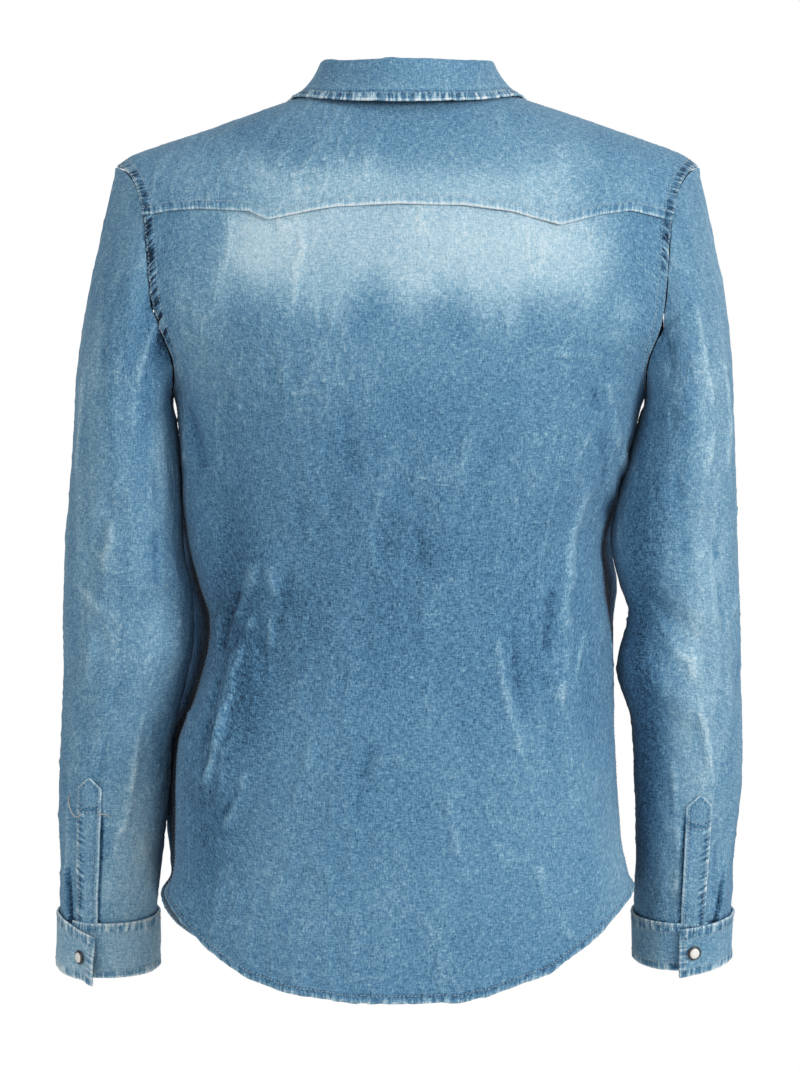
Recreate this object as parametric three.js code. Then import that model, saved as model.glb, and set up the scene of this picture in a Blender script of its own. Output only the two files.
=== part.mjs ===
// A denim western shirt, filled out as if worn, seen in the photograph from behind.
// Millimetres. +Z up, the front faces -Y, the wearer's left is +X.
// The origin lies in the middle of the neck opening, where the shoulders hold the shirt up.
import * as THREE from 'three';
import { mergeVertices } from 'three/addons/utils/BufferGeometryUtils.js';

// Cloth and seams
const CLOTH = 1.5;
const SEAM_GAP = 0.3;
const LAP_GAP = 0.7;
const ON_TOP = CLOTH + LAP_GAP;
const STAND_CLOTH = 1.8;
const CUFF_CLOTH = 1.8;

// Heights on the body
const RIDGE_Z = 14;
const BACK_ROLL = { z: -140, arc: 215 };
const FRONT_ROLL = { z: -230, arc: 299 };
const NECK_POINT_Z = 6;
const SHOULDER_SLOPE = 0.371;
const UNDERARM_Z = -240;
const SIDE_HEM_Z = -638;
const BACK_HEM_Z = -721;
const FRONT_HEM_Z = -712;
const HEM_CURVE = { left: 3.2, right: 2.6 };

// How far the top of each shoulder stands above its straight slope, by the distance out from
// the neck
const SHOULDER_RISE = [
  { out: 0, left: 0, right: 0 },
  { out: 50, left: 1, right: 2.5 },
  { out: 100, left: 2, right: 4 },
  { out: 145, left: 4, right: 5 },
  { out: 158, left: 3.2, right: 4 },
  { out: 168, left: 0, right: 0 },
];

// Half the width and depth of the neck seam, and half the width of the front band
const NECK_X = 66;
const NECK_BACK_Y = 58;
const NECK_FRONT_Y = -82;
const BAND_X = 16;

// The armhole seen from the side, an oval in Y and Z
const ARMHOLE = { topZ: -56, backY: 74, frontY: -70, power: 2.2 };

// The sections across the body are rounded ovals of this power
const BODY_POWER = 2.25;
const SLEEVE_POWER = 2.1;

// Half widths of the body to the wearer's left and right, and its depths to the back and front
const BODY = [
  { z: 20, left: 250, right: 250, back: 118, front: 114 },
  { z: -140, left: 247, right: 248, back: 120, front: 122 },
  { z: -165, left: 240, right: 242, back: 123, front: 125 },
  { z: -188, left: 225, right: 230, back: 125, front: 127 },
  { z: -215, left: 201, right: 206, back: 127, front: 128 },
  { z: -240, left: 189, right: 192, back: 127, front: 128 },
  { z: -270, left: 185, right: 184, back: 125, front: 127 },
  { z: -302, left: 182.5, right: 174.5, back: 121, front: 125 },
  { z: -330, left: 181, right: 167, back: 116, front: 122 },
  { z: -360, left: 177, right: 158, back: 111, front: 119 },
  { z: -395, left: 168, right: 160, back: 107, front: 117 },
  { z: -420, left: 160, right: 163, back: 105, front: 115 },
  { z: -450, left: 162, right: 166, back: 105, front: 114 },
  { z: -485, left: 172, right: 167, back: 107, front: 113 },
  { z: -520, left: 185, right: 168, back: 110, front: 112 },
  { z: -600, left: 188, right: 173, back: 114, front: 111 },
  { z: -628, left: 190, right: 179, back: 115, front: 111 },
  { z: -645, left: 200, right: 182, back: 116, front: 110 },
  { z: -740, left: 202, right: 183, back: 116, front: 110 },
];

// How far the fronts bulge out past their oval, in front of the wearer's arms
const FRONT_BULGE = [
  { z: -240, left: 0, right: 0 },
  { z: -262, left: 16, right: 14 },
  { z: -300, left: 42, right: 34 },
  { z: -330, left: 42, right: 38 },
  { z: -366, left: 44, right: 44 },
  { z: -395, left: 47, right: 47 },
  { z: -417, left: 49, right: 40 },
  { z: -440, left: 50, right: 35 },
  { z: -484, left: 50, right: 25 },
  { z: -520, left: 50, right: 20 },
  { z: -578, left: 50, right: 14 },
  { z: -610, left: 44, right: 12 },
  { z: -650, left: 30, right: 10 },
  { z: -740, left: 24, right: 10 },
];
const BULGE_POWER = 2.1;

// The folded lower edge of the back yoke: its two points and its armhole ends
const YOKE_EDGE = [
  { x: 214, z: -99 },
  { x: 190, z: -95 },
  { x: 165, z: -94 },
  { x: 125, z: -97 },
  { x: 110, z: -104 },
  { x: 95, z: -101 },
  { x: 56, z: -94 },
  { x: 6, z: -92 },
  { x: -44, z: -93 },
  { x: -83, z: -98 },
  { x: -120, z: -108 },
  { x: -152, z: -99 },
  { x: -176, z: -95 },
  { x: -192, z: -98 },
  { x: -214, z: -103 },
];
const YOKE_LAP = 9;

// Sleeve sections: outer and inner distance from the middle of the shirt, middle and half of
// the depth, and how far the section leans, in degrees, as the forearm comes forward
const SLEEVES = {
  left: [
    { z: -262, outer: 269.5, inner: 187.4, mid: -2, half: 72, lean: 0 },
    { z: -300, outer: 272, inner: 183.8, mid: -2, half: 68, lean: 0 },
    { z: -330, outer: 274.5, inner: 182.4, mid: -2, half: 64, lean: 0 },
    { z: -366, outer: 277.5, inner: 181, mid: -3, half: 60, lean: 1 },
    { z: -395, outer: 278.5, inner: 174.5, mid: -5, half: 57, lean: 2 },
    { z: -440, outer: 279, inner: 173, mid: -9, half: 54, lean: 5 },
    { z: -477, outer: 280.5, inner: 180.5, mid: -15, half: 50, lean: 9 },
    { z: -520, outer: 282.7, inner: 191.5, mid: -24, half: 46, lean: 11 },
    { z: -578, outer: 285, inner: 196, mid: -36, half: 42, lean: 12 },
    { z: -610, outer: 284.5, inner: 200, mid: -43, half: 40, lean: 13 },
    { z: -650, outer: 284.6, inner: 205, mid: -52, half: 37, lean: 13 },
    { z: -715, outer: 287, inner: 205, mid: -66, half: 36, lean: 13 },
  ],
  right: [
    { z: -262, outer: 264.5, inner: 187.6, mid: -2, half: 72, lean: 0 },
    { z: -300, outer: 265.7, inner: 176.2, mid: -2, half: 68, lean: 0 },
    { z: -330, outer: 266.8, inner: 168.6, mid: -2, half: 64, lean: 0 },
    { z: -358, outer: 267.3, inner: 165, mid: -3, half: 60, lean: 1 },
    { z: -393, outer: 268.6, inner: 172, mid: -5, half: 57, lean: 2 },
    { z: -417, outer: 269.5, inner: 179, mid: -7, half: 55, lean: 4 },
    { z: -460, outer: 270.5, inner: 170, mid: -12, half: 52, lean: 7 },
    { z: -503, outer: 272, inner: 182, mid: -20, half: 48, lean: 10 },
    { z: -552, outer: 272.5, inner: 185.5, mid: -30, half: 44, lean: 12 },
    { z: -621, outer: 267.5, inner: 187, mid: -45, half: 39, lean: 13 },
    { z: -653, outer: 266, inner: 186, mid: -53, half: 37, lean: 13 },
    { z: -715, outer: 263, inner: 188, mid: -66, half: 36, lean: 13 },
  ],
};
const SLEEVE_TOP_Z = -262;
const CUFF_TOP_Z = -661;
const SLEEVE_END_Z = CUFF_TOP_Z - 6;

// Where each sleeve's slit placket and the edge of its cuff sit, in degrees outward from the
// middle of its back, with the heights of the placket's tip and the cuff's lower edge
const PLACKETS = {
  left: { angle: 22, tipZ: -541, cuffEdge: 11, cuffEndZ: -705 },
  right: { angle: 9, tipZ: -554, cuffEdge: -5, cuffEndZ: -699 },
};
const PLACKET_HALF_TURN = 12.5;
const PLACKET_POINT = 9;
const PLACKET_TIP = 0.06;

// The cuff goes once round from its upper end, and its lower end then runs on beneath the upper
// one. These are degrees: how long the upper end lies on top, how soon it comes down, its end
const CUFF_LAP = 38;
const CUFF_EASE = 24;
const CUFF_END_TURN = 390;

// Collar: height of its stand, and the leaf's edge by its distance from the middle, its fall
// below the neck seam along the body, and how far it stands off
const COLLAR = [
  { turn: 0, stand: 28.8, edgeX: 0, fall: 10, off: 6 },
  { turn: 15, stand: 27.6, edgeX: 23, fall: 11, off: 5.5 },
  { turn: 30, stand: 24.4, edgeX: 45, fall: 13, off: 3.5 },
  { turn: 45, stand: 21, edgeX: 65, fall: 14, off: 1.5 },
  { turn: 60, stand: 19.2, edgeX: 79, fall: 12, off: 0.3 },
  { turn: 75, stand: 19.2, edgeX: 89, fall: 8, off: 0 },
  { turn: 97, stand: 20, edgeX: 97, fall: 0, off: 0 },
  { turn: 135, stand: 20, edgeX: 84, fall: 27, off: 0 },
  { turn: 160, stand: 20, edgeX: 61, fall: 48, off: 0 },
  { turn: 172, stand: 20, edgeX: 44, fall: 55, off: 0 },
];
const COLLAR_FRONT_TURN = 172;
const STAND_LAP = 14;

// Snaps
const SNAP_RADIUS = 5.8;
const SNAP_HEIGHT = 3;
const SNAP_SEAT = 0.6;
const FRONT_SNAPS = { count: 7, topZ: -98, pitch: 86 };
const CUFF_SNAP = { turn: 13, down: 0.52 };
const COLLAR_SNAP_UP = 0.45;

// The largest folds of the body: a soft ridge or trough from one end to the other
const BODY_FOLDS = [
  { side: 1, x0: 118, z0: -372, x1: 152, z1: -560, width: 17, height: 4.5 },
  { side: 1, x0: 150, z0: -330, x1: 105, z1: -470, width: 16, height: -4 },
  { side: 1, x0: -85, z0: -420, x1: -150, z1: -330, width: 16, height: -3.5 },
  { side: 1, x0: -120, z0: -470, x1: -152, z1: -640, width: 16, height: 3.5 },
  { side: -1, x0: 60, z0: -380, x1: 140, z1: -300, width: 18, height: -4 },
  { side: -1, x0: -60, z0: -390, x1: -135, z1: -310, width: 18, height: -4 },
  { side: -1, x0: 90, z0: -470, x1: 130, z1: -620, width: 18, height: 3.5 },
  { side: -1, x0: -95, z0: -460, x1: -125, z1: -640, width: 18, height: 3.5 },
];

// The largest folds of the sleeves, by how far round outward from the middle of the back, in
// millimetres of cloth, and the height
const SLEEVE_FOLDS = {
  left: [
    { a0: 10, z0: -330, a1: 55, z1: -470, width: 12, height: -3.5 },
    { a0: -40, z0: -395, a1: 20, z1: -440, width: 11, height: -4 },
    { a0: -35, z0: -440, a1: 15, z1: -500, width: 12, height: 3 },
    { a0: 175, z0: -400, a1: 230, z1: -450, width: 12, height: -4 },
    { a0: 47, z0: -625, a1: 44, z1: -664, width: 5, height: 2.6 },
  ],
  right: [
    { a0: 20, z0: -340, a1: 60, z1: -480, width: 12, height: -3.5 },
    { a0: -45, z0: -400, a1: 15, z1: -440, width: 11, height: -4 },
    { a0: -40, z0: -450, a1: 10, z1: -500, width: 12, height: 3 },
    { a0: 175, z0: -400, a1: 230, z1: -450, width: 12, height: -4 },
    { a0: 42, z0: -622, a1: 32, z1: -664, width: 5, height: 2.6 },
  ],
};

const COLOURS = { denim: 0x5f8cae, faded: 0x8fb2c6, trim: 0x6f97b4, snap: 0xf1efe8 };
const DEG = Math.PI / 180;

function mix(a, b, t) {
  return a + (b - a) * t;
}

function clamp01(t) {
  return Math.min(1, Math.max(0, t));
}

function smooth(t) {
  const s = clamp01(t);
  return s * s * (3 - 2 * s);
}

// Reads one column of a table at a place between its rows, along a smooth curve
function read(table, key, place, column) {
  const rising = table[table.length - 1][key] > table[0][key];
  let i = 0;
  while (i < table.length - 2 && (rising ? place > table[i + 1][key] : place < table[i + 1][key])) i += 1;
  const row = table[i];
  const next = table[i + 1];
  const span = next[key] - row[key];
  const t = clamp01((place - row[key]) / span);
  const slopeOf = (j) => {
    const before = table[Math.max(0, j - 1)];
    const after = table[Math.min(table.length - 1, j + 1)];
    return (after[column] - before[column]) / (after[key] - before[key]);
  };
  const bend = t * (1 - t);
  return mix(row[column], next[column], t * t * (3 - 2 * t))
    + span * bend * ((1 - t) * slopeOf(i) - t * slopeOf(i + 1));
}

// Rounded oval: the two coordinates of the point at an angle
function oval(angle, power) {
  const s = Math.sin(angle);
  const c = Math.cos(angle);
  return [
    Math.sign(s) * Math.abs(s) ** (2 / power),
    Math.sign(c) * Math.abs(c) ** (2 / power),
  ];
}

function ovalOther(part, power) {
  return Math.max(0, 1 - Math.abs(part) ** power) ** (1 / power);
}

// The line along the top of the shoulders, which flattens under the collar
function ridge(x) {
  const out = Math.abs(x) - NECK_X;
  if (out >= 0) {
    const rise = read(SHOULDER_RISE, 'out', out, x > 0 ? 'left' : 'right');
    return NECK_POINT_Z - SHOULDER_SLOPE * out + rise;
  }
  const t = -out / NECK_X;
  return NECK_POINT_Z + (RIDGE_Z - NECK_POINT_Z) * t * (2 - t);
}

// A place on the body is an angle across it, a climb and a side, 1 for the back and -1 for the
// front. The climb is a height up to where the cloth starts to roll over the shoulder, and from
// there it goes on along the roll, which reaches the top of the shoulder after its arc.
function rollOf(side) {
  return side > 0 ? BACK_ROLL : FRONT_ROLL;
}

function rollStart(side) {
  return rollOf(side).z;
}

function climbOf(rollAngle, side) {
  return rollStart(side) + (rollAngle / (Math.PI / 2)) * rollOf(side).arc;
}

function rollAt(climb, side) {
  return (Math.max(0, climb - rollStart(side)) / rollOf(side).arc) * (Math.PI / 2);
}

// The same place counted from the other side, past the top of the shoulder
function countedFrom(wanted, [across, climb, side]) {
  if (side === wanted) return [across, climb];
  return [across, climbOf(Math.PI - rollAt(climb, side), wanted)];
}

function bodyPoint(across, climb, side) {
  let face = side;
  let roll = rollAt(climb, side);
  if (roll > Math.PI / 2) {
    roll = Math.PI - roll;
    face = -side;
  }
  const start = rollStart(face);
  const [q, rest] = oval(across, BODY_POWER);
  const rolled = climb > rollStart(side);
  const level = rolled ? start + (RIDGE_Z - start) * Math.sin(roll) : climb;
  const hand = q > 0 ? 'left' : 'right';
  const bulge = face > 0 ? 0 : Math.sin(Math.PI * Math.abs(q) ** BULGE_POWER);
  const x = q * read(BODY, 'z', level, hand)
    + Math.sign(q) * bulge * read(FRONT_BULGE, 'z', level, hand);
  const z = rolled ? start + (ridge(x) - start) * Math.sin(roll) : climb;
  const depth = read(BODY, 'z', level, face > 0 ? 'back' : 'front');
  const y = face * depth * (rolled ? Math.cos(roll) : 1) * rest;
  return new THREE.Vector3(x, y, z);
}

// The place on the body of a point given by its distance from the middle and its height
function placeAt(x, z, side) {
  const start = rollStart(side);
  let roll = 0;
  let level = z;
  if (z > start) {
    roll = Math.asin(Math.min(1, (z - start) / (ridge(x) - start)));
    level = start + (RIDGE_Z - start) * Math.sin(roll);
  }
  const q = Math.max(-1, Math.min(1, x / read(BODY, 'z', level, x > 0 ? 'left' : 'right')));
  const across = Math.sign(q) * Math.asin(Math.abs(q) ** (BODY_POWER / 2));
  return [across, z > start ? climbOf(roll, side) : z];
}

// The armhole's loop. Turn 90 is the shoulder tip, 0 the back, -90 the underarm, 180 the front.
const armholeHalf = (ARMHOLE.topZ - UNDERARM_Z) / 2;
const armholeMid = (ARMHOLE.topZ + UNDERARM_Z) / 2;

function armholePlace(turn, hand) {
  const [up, back] = oval(turn * DEG, ARMHOLE.power);
  const z = armholeMid + armholeHalf * up;
  const y = back >= 0 ? ARMHOLE.backY * back : -ARMHOLE.frontY * back;
  const side = back >= 0 ? 1 : -1;
  let near = 90;
  let far = BODY[0].left;
  if (z <= armholeMid) far = read(BODY, 'z', z, hand > 0 ? 'left' : 'right');
  for (let i = 0; i < 40; i += 1) {
    const x = (near + far) / 2;
    const [across, climb] = placeAt(hand * x, z, side);
    if (Math.abs(bodyPoint(across, climb, side).y) > Math.abs(y)) near = x;
    else far = x;
  }
  return [...placeAt((hand * (near + far)) / 2, z, side), side];
}

// The neck seam's loop. Turn 0 is the middle of the back, 90 the wearer's left, 180 the front.
const neckHalf = (NECK_BACK_Y - NECK_FRONT_Y) / 2;
const neckMid = (NECK_BACK_Y + NECK_FRONT_Y) / 2;

function neckPlan(turn, out) {
  return [
    (NECK_X + out) * Math.sin(turn * DEG),
    neckMid + (neckHalf + out) * Math.cos(turn * DEG),
  ];
}

function acrossShoulder(x) {
  return Math.sign(x) * Math.asin(Math.abs(x / BODY[0].left) ** (BODY_POWER / 2));
}

function placeUnder(x, y) {
  const side = y >= 0 ? 1 : -1;
  const across = acrossShoulder(x);
  const depth = (y >= 0 ? BODY[0].back : BODY[0].front) * ovalOther(x / BODY[0].left, BODY_POWER);
  return [across, climbOf(Math.acos(Math.min(1, Math.abs(y) / depth)), side), side];
}

function neckPlace(turn) {
  return placeUnder(...neckPlan(turn, 0));
}

// Folds: how far the cloth stands out at a place, from a table of folds
function foldHeight(folds, u, v, keys) {
  let height = 0;
  for (const fold of folds) {
    const [u0, v0, u1, v1] = keys.map((key) => fold[key]);
    const du = u1 - u0;
    const dv = v1 - v0;
    const along = ((u - u0) * du + (v - v0) * dv) / (du * du + dv * dv);
    const apart = Math.hypot(u - mix(u0, u1, clamp01(along)), v - mix(v0, v1, clamp01(along)));
    const fade = smooth(along * 4 + 0.8) * smooth((1 - along) * 4 + 0.8);
    height += fold.height * fade * Math.exp(-((apart / fold.width) ** 2));
  }
  return height;
}

function bodyFolds(point, side) {
  const folds = BODY_FOLDS.filter((fold) => fold.side === side);
  return foldHeight(folds, point.x, point.z, ['x0', 'z0', 'x1', 'z1']);
}

// Closed wall of cloth over a surface. The surface gives a point for each pair of places, and
// lift says how far the outer face stands off it. Facing is -1 where the columns and rows turn
// the surface's face inward. A tube joins its last column to its first.
function clothWall(surface, columns, rows, lift, thickness, facing = 1, isTube = false) {
  const step = 0.002;
  const positions = [];
  const faceOut = (u, v) => {
    const du = surface(u + step, v).sub(surface(u - step, v));
    const dv = surface(u, v + step).sub(surface(u, v - step));
    return du.cross(dv).normalize().multiplyScalar(facing);
  };
  for (const skin of [0, thickness]) {
    for (const v of rows) {
      for (const u of columns) {
        const point = surface(u, v);
        point.addScaledVector(faceOut(u, v), lift(u, v, point) - skin);
        positions.push(point.x, point.y, point.z);
      }
    }
  }
  const wide = columns.length;
  const tall = rows.length;
  const skinSize = wide * tall;
  const index = [];
  const quad = (a, b, c, d) => index.push(a, b, c, a, c, d);
  const lastColumn = isTube ? wide : wide - 1;
  for (let j = 0; j < tall - 1; j += 1) {
    for (let i = 0; i < lastColumn; i += 1) {
      const a = j * wide + i;
      const b = j * wide + ((i + 1) % wide);
      const c = b + wide;
      const d = a + wide;
      quad(a, b, c, d);
      quad(d + skinSize, c + skinSize, b + skinSize, a + skinSize);
    }
  }
  for (let i = 0; i < lastColumn; i += 1) {
    const next = (i + 1) % wide;
    const top = (tall - 1) * wide;
    quad(next, i, i + skinSize, next + skinSize);
    quad(top + i, top + next, top + next + skinSize, top + i + skinSize);
  }
  for (let j = 0; j < tall - 1 && !isTube; j += 1) {
    const a = j * wide;
    const b = a + wide - 1;
    quad(a, a + wide, a + wide + skinSize, a + skinSize);
    quad(b + wide, b, b + skinSize, b + wide + skinSize);
  }
  return closedGeometry(positions, index);
}

// Turns the faces outward if the solid came out inside out
function closedGeometry(positions, index) {
  const corner = (i) => new THREE.Vector3().fromArray(positions, index[i] * 3);
  let volume = 0;
  for (let i = 0; i < index.length; i += 3) {
    volume += corner(i).dot(corner(i + 1).cross(corner(i + 2)));
  }
  if (volume < 0) index.reverse();
  const geometry = new THREE.BufferGeometry();
  geometry.setAttribute('position', new THREE.Float32BufferAttribute(positions, 3));
  geometry.setIndex(index);
  geometry.computeVertexNormals();
  return geometry;
}

function steps(from, to, count) {
  return Array.from({ length: count + 1 }, (_, i) => mix(from, to, i / count));
}

const shirt = new THREE.Group();
shirt.name = 'denim_western_shirt';

function addPiece(name, geometry, colour, roughness = 0.9) {
  const material = new THREE.MeshStandardMaterial({ color: colour, roughness, metalness: 0 });
  const mesh = new THREE.Mesh(geometry, material);
  mesh.name = name;
  shirt.add(mesh);
  return mesh;
}

// A panel's patch: places on the body mixed between the bottom and top borders, and drawn to
// the start and end borders, more strongly the nearer they are
const BORDER_PULL = 2.4;

function patch(bottom, top, start, end) {
  const corners = [bottom(0), top(0), bottom(1), top(1)];
  return (u, v) => {
    const [low, high, first, last] = [bottom(u), top(u), start(v), end(v)];
    const toStart = clamp01(1 - u) ** BORDER_PULL;
    const toEnd = clamp01(u) ** BORDER_PULL;
    return [0, 1].map((i) => mix(low[i], high[i], v)
      + toStart * (first[i] - mix(corners[0][i], corners[1][i], v))
      + toEnd * (last[i] - mix(corners[2][i], corners[3][i], v)));
  };
}

function hemZ(q, lowest) {
  return mix(lowest, SIDE_HEM_Z, Math.abs(q) ** HEM_CURVE[q > 0 ? 'left' : 'right']);
}

// Side border of a panel: up the side seam, then round the armhole to a given turn of its loop
const SIDE_SHARE = 0.72;
const SIDE_INSET = 0.05;
const ARMHOLE_EASE = 0.8;

function sideBorder(hand, side, endTurn) {
  return (v) => {
    if (v <= SIDE_SHARE) {
      const z = mix(SIDE_HEM_Z, UNDERARM_Z - SEAM_GAP, v / SIDE_SHARE);
      return [hand * (90 - SIDE_INSET) * DEG, z];
    }
    const share = (v - SIDE_SHARE) / (1 - SIDE_SHARE);
    const underarm = side > 0 ? -90 + SIDE_INSET : -90 - SIDE_INSET;
    return armholePlace(mix(underarm, endTurn, share ** ARMHOLE_EASE), hand).slice(0, 2);
  };
}

const bodyRows = [
  ...steps(0, 0.08, 2),
  ...steps(0.14, SIDE_SHARE - 0.04, 10),
  ...steps(SIDE_SHARE, SIDE_SHARE + 0.04, 2),
  ...steps(SIDE_SHARE + 0.07, 1, 7),
];

// The height of the yoke's folded edge at a distance from the middle
function yokeEdgeZ(x) {
  let i = 0;
  while (i < YOKE_EDGE.length - 2 && x < YOKE_EDGE[i + 1].x) i += 1;
  const row = YOKE_EDGE[i];
  const next = YOKE_EDGE[i + 1];
  return mix(row.z, next.z, (row.x - x) / (row.x - next.x));
}

function armholeTurnAt(z) {
  const up = (z - armholeMid) / armholeHalf;
  return Math.asin(up ** (ARMHOLE.power / 2)) / DEG;
}

const yokeEnd = { left: YOKE_EDGE[0], right: YOKE_EDGE[YOKE_EDGE.length - 1] };

function yokeLine(lap) {
  return (u) => {
    const x = mix(armholeX(yokeEnd.left.z + lap, 1), -armholeX(yokeEnd.right.z + lap, -1), u);
    return placeAt(x, yokeEdgeZ(x) + lap, 1);
  };
}

function armholeX(z, hand) {
  const [across, climb, side] = armholePlace(armholeTurnAt(z), hand);
  return Math.abs(bodyPoint(across, climb, side).x);
}

// Back panel, from the shirt-tail hem to just under the yoke's edge
const backPatch = patch(
  (u) => {
    const across = mix(90 - SIDE_INSET, -90 + SIDE_INSET, u) * DEG;
    return [across, hemZ(oval(across, BODY_POWER)[0], BACK_HEM_Z)];
  },
  yokeLine(YOKE_LAP),
  sideBorder(1, 1, armholeTurnAt(yokeEnd.left.z + YOKE_LAP)),
  sideBorder(-1, 1, armholeTurnAt(yokeEnd.right.z + YOKE_LAP)),
);
const backSurface = (u, v) => bodyPoint(...backPatch(u, v), 1);
const backLift = (u, v, point) => bodyFolds(point, 1);
addPiece('back', clothWall(backSurface, steps(0, 1, 24), bodyRows, backLift, CLOTH), COLOURS.denim);

// Shoulder seam: a little behind the top of the shoulder at the neck, in front of it at the tip
const SEAM_NECK_TURN = 68;
const SEAM_TIP_TURN = 98;
const seamNeck = neckPlace(SEAM_NECK_TURN);
const seamTip = armholePlace(SEAM_TIP_TURN, 1);
const seamNeckX = bodyPoint(...seamNeck).x;
const seamTipX = bodyPoint(...seamTip).x;

function shoulderSeam(x, side) {
  const share = clamp01((Math.abs(x) - seamNeckX) / (seamTipX - seamNeckX));
  const climb = mix(countedFrom(side, seamNeck)[1], countedFrom(side, seamTip)[1], share);
  return [acrossShoulder(x), climb - SEAM_GAP];
}

// Back yoke, over the shoulders and lying on the back panel at its folded edge
const SHOULDER_SHARE = 0.33;

function yokeTop(u) {
  const hand = u < 0.5 ? 1 : -1;
  const share = Math.min(u, 1 - u) / SHOULDER_SHARE;
  if (share < 1) return shoulderSeam(hand * mix(seamTipX, seamNeckX, share), 1);
  const turn = mix(SEAM_NECK_TURN, -SEAM_NECK_TURN, (u - SHOULDER_SHARE) / (1 - 2 * SHOULDER_SHARE));
  return neckPlace(turn).slice(0, 2);
}

function yokeSide(hand, end) {
  return (v) => countedFrom(1, armholePlace(mix(armholeTurnAt(end.z), SEAM_TIP_TURN, v), hand));
}

const yokePatch = patch(yokeLine(0), yokeTop, yokeSide(1, yokeEnd.left), yokeSide(-1, yokeEnd.right));
const yokeSurface = (u, v) => bodyPoint(...yokePatch(u, v), 1);
const yokeColumns = [
  ...steps(0, 0.26, 7),
  ...steps(0.3, SHOULDER_SHARE, 1),
  ...steps(0.37, 0.63, 7),
  ...steps(1 - SHOULDER_SHARE, 0.7, 1),
  ...steps(0.74, 1, 7),
];
const yokeWall = clothWall(yokeSurface, yokeColumns, steps(0, 1, 8), () => ON_TOP, CLOTH);
addPiece('back_yoke', yokeWall, COLOURS.faded);

// Fronts. Each has a straight strip at the middle, under the band, and then runs to the side
// seam. The left lies over the right.
const BAND_CLOTH = 1.6;
const STRIP_SHARE = 0.12;
const NECK_SHARE = 0.4;
const UNDER_BAND_SHARE = 0.05;

// The place at a distance from the middle and a climb
function placeAtClimb(x, climb, side) {
  const start = rollStart(side);
  const level = climb > start ? start + (RIDGE_Z - start) * Math.sin(rollAt(climb, side)) : climb;
  const q = x / read(BODY, 'z', level, x > 0 ? 'left' : 'right');
  return [Math.sign(q) * Math.asin(Math.abs(q) ** (BODY_POWER / 2)), climb];
}

// The place on the neck seam, counted from the front's side even where it lies behind the ridge
function frontNeckPlace(turn) {
  return countedFrom(-1, neckPlace(turn));
}

function stripPlace(x, v) {
  const neckTurn = 180 - Math.asin(x / NECK_X) / DEG;
  return placeAtClimb(x, mix(FRONT_HEM_Z, frontNeckPlace(neckTurn)[1], v), -1);
}

function frontSurface(hand) {
  const stripTurn = 180 - Math.asin(BAND_X / NECK_X) / DEG;
  const hemStart = stripPlace(hand * BAND_X, 0)[0];
  const panel = patch(
    (u) => {
      const across = mix(hemStart, hand * (90 - SIDE_INSET) * DEG, u);
      return [across, hemZ(oval(across, BODY_POWER)[0], FRONT_HEM_Z)];
    },
    (u) => {
      if (u < NECK_SHARE) return frontNeckPlace(hand * mix(stripTurn, SEAM_NECK_TURN, u / NECK_SHARE));
      const share = (u - NECK_SHARE) / (1 - NECK_SHARE);
      return shoulderSeam(hand * mix(seamNeckX, seamTipX, share), -1);
    },
    (v) => stripPlace(hand * BAND_X, v),
    sideBorder(hand, -1, SEAM_TIP_TURN - 360),
  );
  return (u, v) => {
    if (u > STRIP_SHARE) return bodyPoint(...panel((u - STRIP_SHARE) / (1 - STRIP_SHARE), v), -1);
    return bodyPoint(...stripPlace(hand * mix(-BAND_X, BAND_X, u / STRIP_SHARE), v), -1);
  };
}

const neckColumn = mix(STRIP_SHARE, 1, NECK_SHARE);
const frontColumns = [
  ...steps(0, STRIP_SHARE, 2),
  ...steps(STRIP_SHARE + UNDER_BAND_SHARE, neckColumn, 4),
  ...steps(neckColumn + 0.06, 1, 7),
];
const leftFront = frontSurface(1);
const rightFront = frontSurface(-1);
const frontLift = (u, v, point) => bodyFolds(point, -1);
const underBand = (u) => -ON_TOP * (1 - smooth((u - STRIP_SHARE) / UNDER_BAND_SHARE));
const rightLift = (u, v, point) => bodyFolds(point, -1) + underBand(u);
addPiece('left_front', clothWall(leftFront, frontColumns, bodyRows, frontLift, CLOTH), COLOURS.denim);
const rightWall = clothWall(rightFront, frontColumns, bodyRows, rightLift, CLOTH, -1);
addPiece('right_front', rightWall, COLOURS.denim);

// Front band, stitched along the left front's edge from the neck to the hem
const bandLift = (u, v, point) => bodyFolds(point, -1) + LAP_GAP + BAND_CLOTH;
const bandColumns = steps(0, STRIP_SHARE, 2);
addPiece('front_band', clothWall(leftFront, bandColumns, bodyRows, bandLift, BAND_CLOTH), COLOURS.trim);

// Collar stand: rises from the neck seam, its left end lying over its right at the front
const STAND_SEAT = ON_TOP + SEAM_GAP + 0.6;
const STAND_LEAN = { round: 0.1, all: 0.04, forward: 0.12 };
const STAND_EASE = { before: 48, over: 18 };
const standEnd = 180 + STAND_LAP;

function standFoot(turn, out) {
  const [x, y] = neckPlan(turn, out);
  const [across, climb, side] = placeUnder(x, y);
  return bodyPoint(across, climb, side);
}

function standPoint(turn, up) {
  const away = Math.min(Math.abs(turn), 174);
  const foot = standFoot(turn, 0);
  const height = read(COLLAR, 'turn', away, 'stand');
  const lean = STAND_LEAN.round * Math.cos(turn * DEG) + STAND_LEAN.all;
  const [sx, sy] = [Math.sin(turn * DEG), Math.cos(turn * DEG)];
  return new THREE.Vector3(
    foot.x - sx * lean * height * up,
    foot.y - (sy * lean + STAND_LEAN.forward) * height * up,
    foot.z + STAND_SEAT + height * up,
  );
}

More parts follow.
